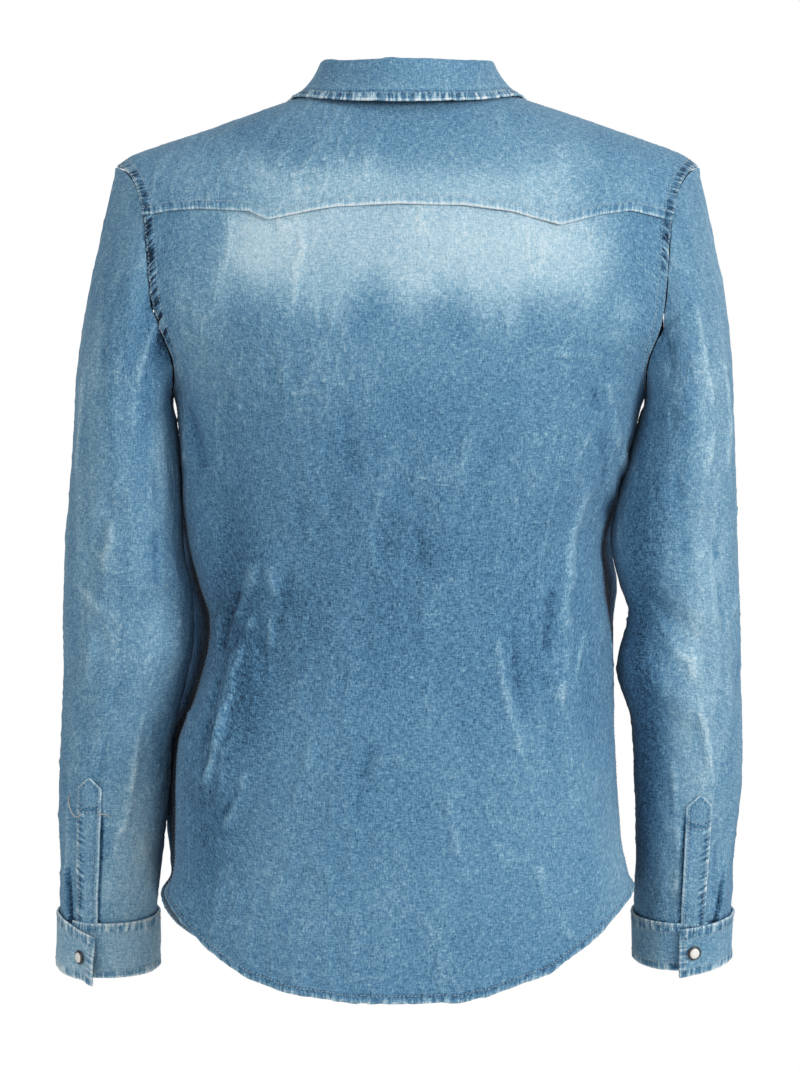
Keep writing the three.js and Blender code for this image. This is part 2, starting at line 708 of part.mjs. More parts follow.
const standLapAt = (u) => smooth((u - standEnd + STAND_EASE.before) / STAND_EASE.over);
const standLift = (u) => STAND_CLOTH + (STAND_CLOTH + LAP_GAP) * standLapAt(u);
const standSurface = (u, v) => standPoint(u - STAND_LAP / 2, v);
const standTurns = [
  ...steps(-180, -140, 4),
  ...steps(-125, 125, 18),
  ...steps(140, 180 + STAND_LAP, 6),
];
addPiece(
  'collar_stand',
  clothWall(standSurface, standTurns, steps(0, 1, 2), standLift, STAND_CLOTH, -1),
  COLOURS.trim,
);

// Collar leaf: turns over the stand and falls to the shoulders, with its points at the front
const LEAF_CLOTH = 2;
const LEAF_CLEAR = 5.6;
const LEAF_GAP = 0.4;
const LEAF_SEAT = ON_TOP + LEAF_CLOTH + LAP_GAP + LEAF_GAP;
const FOLD_RISE = 2.6;
const LEAF_ROUND_SHARE = 0.25;
const LEAF_DROP = 1.15;
const LAP_STEP_TURN = { from: 130, over: 25 };

function leafPoint(turn, down) {
  const away = Math.abs(turn);
  const hand = Math.sign(turn);
  const out = new THREE.Vector3(Math.sin(turn * DEG), Math.cos(turn * DEG), 0);
  const round = Math.sqrt(1 - (1 - clamp01(down / LEAF_ROUND_SHARE)) ** 2);
  const clear = LEAF_CLEAR + ON_TOP * smooth((away - LAP_STEP_TURN.from) / LAP_STEP_TURN.over);
  const fold = standPoint(turn, 1).addScaledVector(out, clear * (0.55 + 0.45 * round));
  fold.z += FOLD_RISE * round + LEAF_GAP;
  const [x, y] = neckPlan(away, 4);
  const [, neckClimb, side] = placeUnder(x, y);
  const edgeX = read(COLLAR, 'turn', away, 'edgeX');
  const climb = neckClimb - read(COLLAR, 'turn', away, 'fall') * down;
  const [across] = placeAtClimb(hand * mix(x, edgeX, down), climb, side);
  const step = 0.01;
  const lying = bodyPoint(across, climb, side);
  const faceOut = bodyPoint(across + step, climb, side).sub(lying)
    .cross(bodyPoint(across, climb + 1, side).sub(lying)).normalize();
  if (faceOut.dot(out) + faceOut.z < 0) faceOut.negate();
  lying.addScaledVector(faceOut, LEAF_SEAT + read(COLLAR, 'turn', away, 'off'));
  return fold.lerp(lying, smooth(down * LEAF_DROP));
}

const leafTurns = steps(-COLLAR_FRONT_TURN, COLLAR_FRONT_TURN, 36);
const leafRows = [0, 0.08, 0.25, 0.5, 0.75, 1];
addPiece('collar_leaf', clothWall(leafPoint, leafTurns, leafRows, () => 0, LEAF_CLOTH), COLOURS.trim);

// Sleeves: a head that leaves the armhole, then sections down to the wrist
const HEAD_START = { across: 0.5, top: 0.25, under: 0.42, back: 0.15 };
const ARMHOLE_STEP = 0.8;
const TIP_STEP = 3;

function sleeveSection(hand, turn, z) {
  const table = hand > 0 ? SLEEVES.left : SLEEVES.right;
  const outer = read(table, 'z', z, 'outer');
  const inner = read(table, 'z', z, 'inner');
  const mid = read(table, 'z', z, 'mid');
  const half = read(table, 'z', z, 'half');
  const lean = read(table, 'z', z, 'lean') * DEG;
  const [out, back] = oval(turn * DEG, SLEEVE_POWER);
  const x = (outer + inner) / 2 + ((outer - inner) / 2) * out;
  return new THREE.Vector3(hand * x, mid + half * back, z - Math.tan(lean) * half * back);
}

function sleeveHead(hand, turn, t) {
  const place = armholePlace(turn, hand);
  const from = bodyPoint(...place);
  const to = sleeveSection(hand, turn, SLEEVE_TOP_Z);
  const s = Math.sin(turn * DEG);
  const c = Math.cos(turn * DEG);
  const above = HEAD_START.top * Math.max(0, s) ** 2;
  const below = HEAD_START.under * Math.min(0, s) ** 2;
  const leave = new THREE.Vector3(HEAD_START.across * c * c + above + below, HEAD_START.back * c, -1);
  leave.normalize();
  leave.x *= hand;
  from.addScaledVector(leave, ARMHOLE_STEP);
  from.x += hand * (ARMHOLE_STEP + TIP_STEP * Math.max(0, s) ** 2);
  const reach = from.distanceTo(to);
  const t2 = t * t;
  const t3 = t2 * t;
  const point = from.multiplyScalar(2 * t3 - 3 * t2 + 1);
  point.addScaledVector(leave, reach * (t3 - 2 * t2 + t));
  point.addScaledVector(to, 3 * t2 - 2 * t3);
  point.z -= reach * (t3 - t2);
  return point;
}

function sleevePoint(hand, turn, v) {
  if (v < 1) return sleeveHead(hand, turn, v);
  return sleeveSection(hand, turn, mix(SLEEVE_TOP_Z, SLEEVE_END_Z, v - 1));
}

const hands = { left: 1, right: -1 };
const MM_A_DEGREE = 0.85;

function sleeveFolds(name, turn, z) {
  const wrapped = turn > 280 ? turn - 360 : turn;
  return foldHeight(SLEEVE_FOLDS[name], wrapped * MM_A_DEGREE, z, ['a0', 'z0', 'a1', 'z1']);
}

const FOLD_START = 6;
const sleeveRows = [...steps(0, 1, 7).slice(0, 7), ...steps(1, 2, 20)];
const sleeveTurns = steps(0, 360, 28).slice(0, 28);

for (const [name, hand] of Object.entries(hands)) {
  const surface = (u, v) => sleevePoint(hand, u, v);
  const foldShare = (v) => smooth((v - 1) * FOLD_START);
  const lift = (u, v, point) => (v < 1 ? 0 : sleeveFolds(name, u, point.z) * foldShare(v));
  const tube = clothWall(surface, sleeveTurns, sleeveRows, lift, CLOTH, hand, true);
  addPiece(`${name}_sleeve`, tube, COLOURS.denim);

  // Cuff: a band round the wrist, lapped over its own end where the placket opens
  const { angle, tipZ, cuffEdge, cuffEndZ } = PLACKETS[name];
  const cuffTurn = (u) => cuffEdge + u;
  const cuffSurface = (u, v) => sleeveSection(hand, cuffTurn(u), mix(CUFF_TOP_Z, cuffEndZ, v));
  const underLift = LAP_GAP + CUFF_CLOTH;
  const cuffLift = (u) => underLift + (CUFF_CLOTH + LAP_GAP) * (1 - smooth((u - CUFF_LAP) / CUFF_EASE));
  const cuffTurns = [
    ...steps(0, CUFF_LAP + CUFF_EASE, 6),
    ...steps(CUFF_LAP + CUFF_EASE + 12, 340, 18),
    ...steps(352, CUFF_END_TURN, 3),
  ];
  const cuffWall = clothWall(cuffSurface, cuffTurns, steps(0, 1, 3), cuffLift, CUFF_CLOTH, hand);
  addPiece(`${name}_cuff`, cuffWall, COLOURS.trim);

  // Placket: a pointed strip on the sleeve over its slit
  const placketSurface = (u, v) => {
    const z = mix(tipZ, CUFF_TOP_Z + 1, v);
    const widen = Math.min(1, PLACKET_TIP + (tipZ - z) / PLACKET_POINT);
    return sleeveSection(hand, angle + u * widen * PLACKET_HALF_TURN, z);
  };
  const placketLift = (u, v, point) => sleeveFolds(name, angle, point.z) + LAP_GAP + CLOTH;
  const placketRows = [0, 0.04, 0.08, ...steps(0.2, 1, 6)];
  addPiece(
    `${name}_sleeve_placket`,
    clothWall(placketSurface, steps(-1, 1, 4), placketRows, placketLift, CLOTH, hand),
    COLOURS.trim,
  );
}

// Snaps: a pearl cap in a metal ring, pressed through the cloth and lying on it
const SNAP_PROFILE = [
  [0, 0],
  [SNAP_RADIUS, 0],
  [SNAP_RADIUS, 1.3],
  [SNAP_RADIUS - 1.6, 2.2],
  [2, SNAP_HEIGHT],
  [0, SNAP_HEIGHT],
];
const SNAP_SIDES = 14;
const TOUCHING = 1e-4;

function addSnap(name, surface, u, v, height, facing) {
  const step = 0.01;
  const at = surface(u, v);
  const du = surface(u + step, v).sub(surface(u - step, v));
  const dv = surface(u, v + step).sub(surface(u, v - step));
  const faceOut = du.cross(dv).normalize().multiplyScalar(facing);
  const profile = SNAP_PROFILE.map(([r, h]) => new THREE.Vector2(r, h));
  const turned = new THREE.LatheGeometry(profile, SNAP_SIDES);
  const geometry = mergeVertices(turned.deleteAttribute('normal').deleteAttribute('uv'), TOUCHING);
  geometry.computeVertexNormals();
  const snap = addPiece(name, geometry, COLOURS.snap, 0.3);
  snap.quaternion.setFromUnitVectors(new THREE.Vector3(0, 1, 0), faceOut);
  snap.position.copy(at).addScaledVector(faceOut, height);
}

for (let i = 0; i < FRONT_SNAPS.count; i += 1) {
  const z = FRONT_SNAPS.topZ - FRONT_SNAPS.pitch * i;
  const v = (placeAt(0, z, -1)[1] - FRONT_HEM_Z) / (stripPlace(0, 1)[1] - FRONT_HEM_Z);
  addSnap(`front_snap_${i + 1}`, leftFront, STRIP_SHARE / 2, v, LAP_GAP + BAND_CLOTH + SNAP_SEAT, 1);
}
const onStand = 2 * STAND_CLOTH + LAP_GAP + SNAP_SEAT;
addSnap('collar_snap', standSurface, 180 + STAND_LAP / 2, COLLAR_SNAP_UP, onStand, -1);
for (const [name, hand] of Object.entries(hands)) {
  const { cuffEdge, cuffEndZ } = PLACKETS[name];
  const surface = (u, v) => sleeveSection(hand, cuffEdge + u, mix(CUFF_TOP_Z, cuffEndZ, v));
  const onCuff = 2 * (LAP_GAP + CUFF_CLOTH) + SNAP_SEAT;
  addSnap(`${name}_cuff_snap`, surface, CUFF_SNAP.turn, CUFF_SNAP.down, onCuff, hand);
}

export default shirt;
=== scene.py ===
# A denim western shirt, filled out as if worn, seen from behind.
# The shapes are worked out in millimetres in the frame of the CAD model and put on the meshes
# in metres: the front faces -Y, +X is the wearer's left, the origin is in the neck opening.
import math
import bpy
import numpy as np
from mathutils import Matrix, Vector


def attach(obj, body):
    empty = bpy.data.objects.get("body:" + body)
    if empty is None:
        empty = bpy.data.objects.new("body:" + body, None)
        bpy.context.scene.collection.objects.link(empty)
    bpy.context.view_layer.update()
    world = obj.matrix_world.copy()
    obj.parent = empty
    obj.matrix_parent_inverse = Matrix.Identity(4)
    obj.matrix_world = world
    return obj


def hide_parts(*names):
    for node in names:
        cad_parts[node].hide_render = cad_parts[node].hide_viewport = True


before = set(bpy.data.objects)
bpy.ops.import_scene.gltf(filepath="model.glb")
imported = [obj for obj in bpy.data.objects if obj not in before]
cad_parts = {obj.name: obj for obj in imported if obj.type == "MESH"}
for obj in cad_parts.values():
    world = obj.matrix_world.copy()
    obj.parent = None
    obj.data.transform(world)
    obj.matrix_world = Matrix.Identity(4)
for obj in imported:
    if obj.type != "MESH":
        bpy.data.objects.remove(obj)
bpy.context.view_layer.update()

# Back panel. One piece of washed cotton denim from the shirt-tail hem to under the yoke, bleached
# across the shoulder blades, crushed into creases at the waist, with a narrow rolled hem. It lies
# on a form of the filled-out body, from which the other panels, collar and sleeves start as well.
RIDGE_Z = 14
# The back is side 1, the front side -1. Each rolls over the shoulder above its start, along an arc
ROLL_START = {1: -140, -1: -230}
ROLL_ARC = {1: 215, -1: 299}
NECK_POINT_Z = 6
SHOULDER_SLOPE = 0.371
UNDERARM_Z = -240
SIDE_HEM_Z = -638
BACK_HEM_Z = -721
FRONT_HEM_Z = -712
HEM_CURVE = {"left": 3.2, "right": 2.6}
BULGE_POWER = 2.1
NECK_X = 66
NECK_BACK_Y = 58
NECK_FRONT_Y = -82
ARMHOLE_TOP_Z = -56
ARMHOLE_BACK_Y = 74
ARMHOLE_FRONT_Y = -70
ARMHOLE_POWER = 2.2
ARMHOLE_LEAST_X = 90
ARMHOLE_HALVINGS = 40
BODY_POWER = 2.25
WIDEST = 250
SEAM_GAP = 0.3


def table(names, rows):
    """Columns by name, in rising order of the first"""
    columns = np.array(rows, float).T
    order = np.argsort(columns[0])
    return dict(zip(names.split(), columns[:, order]))


# Half widths to the wearer's left and right, and depths to the back and front, at each height
BODY = table("z left right back front", [
    (20, 250, 250, 118, 114),
    (-140, 247, 248, 120, 122),
    (-165, 240, 242, 123, 125),
    (-188, 225, 230, 125, 127),
    (-215, 201, 206, 127, 128),
    (-240, 189, 192, 127, 128),
    (-270, 185, 184, 125, 127),
    (-302, 182.5, 174.5, 121, 125),
    (-330, 181, 167, 116, 122),
    (-360, 177, 158, 111, 119),
    (-395, 168, 160, 107, 117),
    (-420, 160, 163, 105, 115),
    (-450, 162, 166, 105, 114),
    (-485, 172, 167, 107, 113),
    (-520, 185, 168, 110, 112),
    (-600, 188, 173, 114, 111),
    (-628, 190, 179, 115, 111),
    (-645, 200, 182, 116, 110),
    (-740, 202, 183, 116, 110),
])
# How far the front swells past the back at each height, and the shoulders over a straight slope
FRONT_BULGE = table("z left right", [
    (-236, 0, 0),
    (-262, 26, 14),
    (-280, 37, 24),
    (-300, 44, 34),
    (-330, 42, 38),
    (-366, 44, 44),
    (-395, 51, 47),
    (-417, 54, 40),
    (-440, 53, 35),
    (-484, 50, 25),
    (-520, 50, 20),
    (-578, 50, 14),
    (-610, 44, 12),
    (-650, 30, 10),
    (-740, 24, 10),
])
SHOULDER_RISE = table("out left right", [
    (0, 0, 0), (50, 1, 2.5), (100, 2, 4), (145, 4, 5), (158, 3.2, 4), (168, 0, 0),
])


def mix(a, b, t):
    return a + (b - a) * t


def clamp(t):
    return np.clip(t, 0, 1)


def smooth(t):
    s = clamp(t)
    return s * s * (3 - 2 * s)


def read(rows, place, column):
    """One column of a table between its rows, along a smooth curve"""
    key = next(iter(rows.values()))
    values = rows[column]
    place = np.asarray(place, float)
    last = len(key) - 1
    i = np.clip(np.searchsorted(key, place, side="right") - 1, 0, last - 1)
    before = np.maximum(i - 1, 0)
    after = np.minimum(i + 2, last)
    span = key[i + 1] - key[i]
    t = clamp((place - key[i]) / span)
    leave = (values[i + 1] - values[before]) / (key[i + 1] - key[before])
    arrive = (values[after] - values[i]) / (key[after] - key[i])
    bend = span * t * (1 - t) * ((1 - t) * leave - t * arrive)
    return mix(values[i], values[i + 1], t * t * (3 - 2 * t)) + bend


def oval(angle, power):
    s = np.sin(angle)
    c = np.cos(angle)
    return np.sign(s) * np.abs(s) ** (2 / power), np.sign(c) * np.abs(c) ** (2 / power)


def by_hand(rows, place, x):
    return np.where(x > 0, read(rows, place, "left"), read(rows, place, "right"))


def half_width(level, x):
    return by_hand(BODY, level, x)


def by_side(values, side):
    return np.where(side > 0, values[1], values[-1])


def ridge(x):
    out = np.abs(x) - NECK_X
    t = clamp(-out / NECK_X)
    under_collar = NECK_POINT_Z + (RIDGE_Z - NECK_POINT_Z) * t * (2 - t)
    slope = NECK_POINT_Z - SHOULDER_SLOPE * out + by_hand(SHOULDER_RISE, out, x)
    return np.where(out >= 0, slope, under_collar)


def climb_of(roll, side):
    return by_side(ROLL_START, side) + roll / (math.pi / 2) * by_side(ROLL_ARC, side)


def roll_at(climb, side):
    past = np.maximum(0, climb - by_side(ROLL_START, side))
    return past / by_side(ROLL_ARC, side) * (math.pi / 2)


def counted_from(wanted, across, climb, side):
    """The same place counted from the wanted side, past the top of the shoulder"""
    over = climb_of(math.pi - roll_at(climb, side), wanted)
    return across, np.where(side == wanted, climb, over)


def body_point(across, climb, side):
    """A place on the form, from its angle across and its climb from the hem over the shoulder"""
    roll = roll_at(climb, side)
    over = roll > math.pi / 2
    rolled = climb > by_side(ROLL_START, side)
    roll = np.where(over, math.pi - roll, roll)
    face = np.where(over, -side, side)
    start = by_side(ROLL_START, face)
    q, rest = oval(across, BODY_POWER)
    level = np.where(rolled, start + (RIDGE_Z - start) * np.sin(roll), climb)
    swell = np.where(face > 0, 0, np.sin(math.pi * np.abs(q) ** BULGE_POWER))
    x = q * half_width(level, q) + np.sign(q) * swell * by_hand(FRONT_BULGE, level, q)
    z = np.where(rolled, start + (ridge(x) - start) * np.sin(roll), climb)
    depth = np.where(face > 0, read(BODY, level, "back"), read(BODY, level, "front"))
    y = face * depth * np.where(rolled, np.cos(roll), 1) * rest
    return np.stack(np.broadcast_arrays(x, y, z), -1)


def across_at(x, level):
    q = np.clip(x / half_width(level, x), -1, 1)
    return np.sign(q) * np.arcsin(np.abs(q) ** (BODY_POWER / 2))


def place_at(x, z, side):
    """The angle across and the climb of a point that is given by x and z"""
    start = by_side(ROLL_START, side)
    rolled = z > start
    lift = np.clip((z - start) / (ridge(x) - start), 0, 1)
    roll = np.arcsin(lift)
    level = np.where(rolled, start + (RIDGE_Z - start) * lift, z)
    return across_at(x, level), np.where(rolled, climb_of(roll, side), z)


def place_at_climb(x, climb, side):
    start = by_side(ROLL_START, side)
    rolled = start + (RIDGE_Z - start) * np.sin(roll_at(climb, side))
    return across_at(x, np.where(climb > start, rolled, climb)), climb


ARMHOLE_HALF = (ARMHOLE_TOP_Z - UNDERARM_Z) / 2
ARMHOLE_MID = (ARMHOLE_TOP_Z + UNDERARM_Z) / 2


def armhole_place(turn, hand):
    """Turn 90 is the shoulder tip, 0 the back, -90 the underarm, 180 the front"""
    up, back = oval(np.radians(turn), ARMHOLE_POWER)
    z = ARMHOLE_MID + ARMHOLE_HALF * up
    y = np.where(back >= 0, ARMHOLE_BACK_Y * back, -ARMHOLE_FRONT_Y * back)
    side = np.where(back >= 0, 1, -1)
    low = np.full_like(z, ARMHOLE_LEAST_X)
    high = np.where(z > ARMHOLE_MID, WIDEST, half_width(z, hand))
    for _ in range(ARMHOLE_HALVINGS):
        x = (low + high) / 2
        across, climb = place_at(hand * x, z, side)
        inside = np.abs(body_point(across, climb, side)[..., 1]) > np.abs(y)
        low = np.where(inside, x, low)
        high = np.where(inside, high, x)
    return *place_at(hand * (low + high) / 2, z, side), side


def neck_plan(turn, out):
    half = (NECK_BACK_Y - NECK_FRONT_Y) / 2 + out
    mid = (NECK_BACK_Y + NECK_FRONT_Y) / 2
    return (NECK_X + out) * np.sin(np.radians(turn)), mid + half * np.cos(np.radians(turn))


def across_shoulder(x):
    return np.sign(x) * np.arcsin(np.abs(x / WIDEST) ** (BODY_POWER / 2))


def place_under(x, y):
    """The place on the rolled shoulders below or above a point of the plan"""
    side = np.where(y >= 0, 1, -1)
    rest = np.maximum(0, 1 - np.abs(x / WIDEST) ** BODY_POWER) ** (1 / BODY_POWER)
    depth = np.where(y >= 0, BODY["back"][-1], BODY["front"][-1]) * rest
    climb = climb_of(np.arccos(np.minimum(1, np.abs(y) / depth)), side)
    return across_shoulder(x), climb, side


def neck_place(turn):
    return place_under(*neck_plan(turn, 0))


def patch(bottom, top, start, end, u, v):
    """Places of a panel between its four borders, as in the pattern of the CAD panel"""
    pull = 2.4
    low = np.array(bottom(u))[:, None, :]
    high = np.array(top(u))[:, None, :]
    first = np.array(start(v))[:, :, None]
    last = np.array(end(v))[:, :, None]
    rise = v[None, :, None]
    first_gap = first - mix(low[:, :, :1], high[:, :, :1], rise)
    last_gap = last - mix(low[:, :, -1:], high[:, :, -1:], rise)
    return mix(low, high, rise) + (1 - u) ** pull * first_gap + u ** pull * last_gap


def runs(*stops):
    """Evenly spaced values from stop to stop, given as value, count, value, count, value"""
    parts = [np.linspace(a, b, n, endpoint=False)
             for a, n, b in zip(stops[0:-2:2], stops[1::2], stops[2::2])]
    return np.concatenate([*parts, [stops[-1]]])


# The cloth's thickness, how far the yoke lies over the back, how far an edge rounds out for its
# thickness, and the step in the weave, in metres, by which the seam of a tube is known
CLOTH = 1.5
ON_TOP = 2.2
EDGE_ROUND = 0.45
TUBE_SEAM_STEP = 0.05
NOISE_CELLS = 32
NOISE_START = 500


def lumps(points, size, seed):
    """Smooth lumps and hollows from -1 to 1 in space, size being their width in millimetres"""
    cells = np.random.default_rng(seed).uniform(-1, 1, (NOISE_CELLS,) * 3)
    place = points / np.asarray(size, float) + NOISE_START
    low = np.floor(place).astype(int)
    t = place - low
    t = t * t * t * (t * (t * 6 - 15) + 10)
    total = np.zeros(points.shape[:-1])
    for corner in np.ndindex(2, 2, 2):
        share = np.prod(np.where(np.array(corner) == 1, t, 1 - t), -1)
        x, y, z = np.moveaxis((low + corner) % NOISE_CELLS, -1, 0)
        total += share * cells[x, y, z]
    return total


def sharp(points, size, seed):
    """Sharp crests from 0 to 1 where the lumps cross zero, like the creases of crushed cloth"""
    return (1 - np.abs(lumps(points, size, seed))) ** 5


def folds(rows, u, v):
    """How far the cloth stands out at a place, from rows of start, end, width and height"""
    height = np.zeros(np.broadcast(u, v).shape)
    for u0, v0, u1, v1, width, tall in rows:
        du = u1 - u0
        dv = v1 - v0
        along = ((u - u0) * du + (v - v0) * dv) / (du * du + dv * dv)
        apart = np.hypot(u - mix(u0, u1, clamp(along)), v - mix(v0, v1, clamp(along)))
        fade = smooth(along * 4 + 0.8) * smooth((1 - along) * 4 + 0.8)
        height += tall * fade * np.exp(-(apart / width) ** 2)
    return height


def unit(vectors):
    return vectors / np.maximum(np.linalg.norm(vectors, axis=-1, keepdims=True), 1e-9)


def facing_out(points, facing, tube):
    """The outward direction all over a grid of points"""
    if tube:
        du = np.roll(points, -1, 1) - np.roll(points, 1, 1)
    else:
        du = np.gradient(points, axis=1)
    dv = np.gradient(points, axis=0)
    return unit(np.cross(du, dv)) * facing


def distances(points):
    """Millimetres of cloth from the first column and from the first row to each point"""
    up = np.linalg.norm(np.diff(points, axis=0), axis=-1)
    along = np.concatenate([np.zeros((1, points.shape[1])), np.cumsum(up, 0)])
    over = np.linalg.norm(np.diff(points, axis=1), axis=-1)
    across = np.concatenate([np.zeros((points.shape[0], 1)), np.cumsum(over, 1)], 1)
    return across, along


def lay_out(points, facing=1, tube=False, middle=0.5, level_row=0):
    """A cloth surface: its points, outward directions, distances from each border, and places
    in the weave, counted in millimetres of cloth from its middle and from a level row"""
    across, along = distances(points)
    column = int(middle * (points.shape[1] - 1))
    return {
        "points": points,
        "out": facing_out(points, facing, tube),
        "across": across,
        "bottom": along,
        "top": along[-1] - along,
        "start": across,
        "end": across[:, -1:] - across,
        "weave": np.stack([across - across[:, column:column + 1], along - along[level_row]], -1),
        "facing": facing,
        "tube": tube,
    }


def raise_cloth(cloth, lift):
    """The same surface with its face raised by the lift, its directions worked out again"""
    points = cloth["points"] + cloth["out"] * np.broadcast_to(lift, cloth["across"].shape)[..., None]
    return {**cloth, "points": points, "out": facing_out(points, cloth["facing"], cloth["tube"])}


def new_mesh(name, points, faces):
    mesh = bpy.data.meshes.new(name)
    mesh.from_pydata((points * 0.001).tolist(), [], faces)
    mesh.shade_smooth()
    piece = bpy.data.objects.new(name, mesh)
    bpy.context.scene.collection.objects.link(piece)
    return piece


def border_loops(rows, columns, tube):
    """The open edges of a grid as loops of point numbers"""
    number = np.arange(rows * columns).reshape(rows, columns)
    if tube:
        return [number[0], number[-1][::-1]]
    return [np.concatenate([number[0, :-1], number[:-1, -1], number[-1, :0:-1], number[:0:-1, 0]])]


def points_inside(points, loop):
    """For each border point, its neighbour one step into the cloth"""
    rows, columns = points.shape[:2]
    row, column = np.divmod(loop, columns)
    step = 1 if rows > 2 else 0
    row_in = np.where(row == 0, step, np.where(row == rows - 1, rows - 1 - step, row))
    at_end = (column == 0) | (column == columns - 1)
    on_level = (row == 0) | (row == rows - 1)
    column_in = np.where(at_end & ~on_level, np.where(column == 0, 1, columns - 2), column)
    return points[row_in, column_in]


def grid_faces(rows, columns, tube):
    number = np.arange(rows * columns).reshape(rows, columns)
    beside = np.roll(number, -1, 1)
    quads = np.stack([number[:-1], beside[:-1], beside[1:], number[1:]], -1)
    if not tube:
        quads = quads[:, :-1]
    return quads.reshape(-1, 4)


def closed_shell(cloth, thickness):
    """Points and faces of the face, the inside and the rounded edges between them, for each point
    the number of its point on the face, and how many faces the face alone has"""
    points = cloth["points"]
    outer = points.reshape(-1, 3)
    inner = outer - cloth["out"].reshape(-1, 3) * thickness
    size = len(outer)
    quads = grid_faces(*points.shape[:2], cloth["tube"])
    faces = [quads, quads[:, ::-1] + size]
    all_points = [outer, inner]
    owner = [np.arange(size), np.arange(size)]
    base = 2 * size
    for loop in border_loops(*points.shape[:2], cloth["tube"]):
        inward = unit(outer[loop] - points_inside(points, loop))
        middle = (outer[loop] + inner[loop]) / 2 + inward * thickness * EDGE_ROUND
        ring = base + np.arange(len(loop))
        here = [loop, np.roll(loop, -1), np.roll(ring, -1), ring]
        below = [ring, np.roll(ring, -1), np.roll(loop, -1) + size, loop + size]
        faces += [np.stack(here, -1)[:, ::-1], np.stack(below, -1)[:, ::-1]]
        all_points.append(middle)
        owner.append(loop)
        base += len(loop)
    all_points = np.concatenate(all_points)
    faces = np.concatenate(faces)
    a, b, c, d = (all_points[faces[:, i]] for i in range(4))
    if np.einsum("ij,ij->", a, np.cross(b, c) + np.cross(c, d)) < 0:
        faces = faces[:, ::-1]
    return all_points, faces, np.concatenate(owner), len(quads)


def paint(mesh, name, values, owner):
    """Keeps three values for each point of a cloth, the same on its face, inside and edges"""
    attribute = mesh.attributes.new(name, "FLOAT_VECTOR", "POINT")
    attribute.data.foreach_set("vector", values.reshape(-1, 3)[owner].astype(np.float32).reshape(-1))


def map_weave(mesh, cloth, faces, owner):
    """Places in the weave as a UV map in metres, running on past the seam of a tube"""
    corners = (cloth["weave"].reshape(-1, 2)[owner] * 0.001)[faces]
    if cloth["tube"]:
        points = cloth["points"]
        around = cloth["across"][:, -1] + np.linalg.norm(points[:, 0] - points[:, -1], axis=-1)
        passed = corners[:, :, 0].max(1, keepdims=True) - corners[:, :, 0] > TUBE_SEAM_STEP
        row = owner[faces] // points.shape[1]
        corners[:, :, 0] += np.where(passed, around[row] * 0.001, 0)
    layer = mesh.uv_layers.new(name="weave")
    layer.uv.foreach_set("vector", corners.reshape(-1))


def cloth_piece(name, cloth, wash_and_shade, seam, thickness=CLOTH):
    """A closed shell of denim. Its wash values are the fade, with painted shade in places, the tone of its
    creases, pale with wear on the crests and a painted shade in the troughs, and its edges, pale with
    wear; seam the closeness of level and of upright stitched seams"""
    points, faces, owner, face_count = closed_shell(cloth, thickness)
    piece = new_mesh(name, points, faces.tolist())
    mesh = piece.data
    grid = cloth["points"].shape[:2]
    for label, values in (("wash_and_shade", wash_and_shade), ("seam", (*seam, 0.0))):
        paint(mesh, label, np.stack([np.broadcast_to(value, grid) for value in values], -1), owner)
    map_weave(mesh, cloth, faces, owner)
    inside = np.zeros(len(faces), np.int32)
    inside[face_count:2 * face_count] = 1
    mesh.polygons.foreach_set("material_index", inside)
    mesh.materials.append(denim)
    mesh.materials.append(denim_inside)
    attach(piece, "root")
    return piece


def near(distance, reach):
    """1 at a border and 0 beyond its reach"""
    return 1 - smooth(distance / reach)


def put(tree, kind, settings=None, **inputs):
    node = tree.nodes.new(kind)
    for key, value in (settings or {}).items():
        setattr(node, key, value)
    for key, value in inputs.items():
        name = key.replace("_", " ")
        socket = node.inputs[int(key[1:])] if key[0] == "i" and key[1:].isdigit() else node.inputs[name]
        if isinstance(value, bpy.types.NodeSocket):
            tree.links.new(value, socket)
        else:
            socket.default_value = value
    return node


def math_node(tree, operation, a, b, c=0.0, clamped=False):
    node = put(tree, "ShaderNodeMath", {"operation": operation, "use_clamp": clamped}, i0=a, i1=b, i2=c)
    return node.outputs[0]


def product(tree, a, b):
    return math_node(tree, "MULTIPLY", a, b)


def sum_of(tree, *terms):
    """Adds up sockets, each with its factor"""
    parts = [product(tree, socket, factor) for socket, factor in terms]
    total = parts[0]
    for part in parts[1:]:
        total = math_node(tree, "ADD", total, part)
    return total


def centred(tree, socket):
    return math_node(tree, "SUBTRACT", socket, 0.5)


def streaks(tree, vector, per_metre, detail=2.0, roughness=0.6):
    """Noise drawn out along one direction, centred on 0"""
    scaled = put(tree, "ShaderNodeVectorMath", {"operation": "MULTIPLY"}, i0=vector, i1=per_metre)
    noise = put(tree, "ShaderNodeTexNoise", Vector=scaled.outputs[0], Scale=1.0, Detail=detail,
                Roughness=roughness)
    return centred(tree, noise.outputs["Fac"])


def new_group(name, inputs, outputs):
    group = bpy.data.node_groups.new(name, "ShaderNodeTree")
    for label, kind in inputs:
        group.interface.new_socket(name=label, in_out="INPUT", socket_type=kind)
    for label in outputs:
        group.interface.new_socket(name=label, in_out="OUTPUT", socket_type="NodeSocketFloat")
    return group, group.nodes.new("NodeGroupInput"), group.nodes.new("NodeGroupOutput")


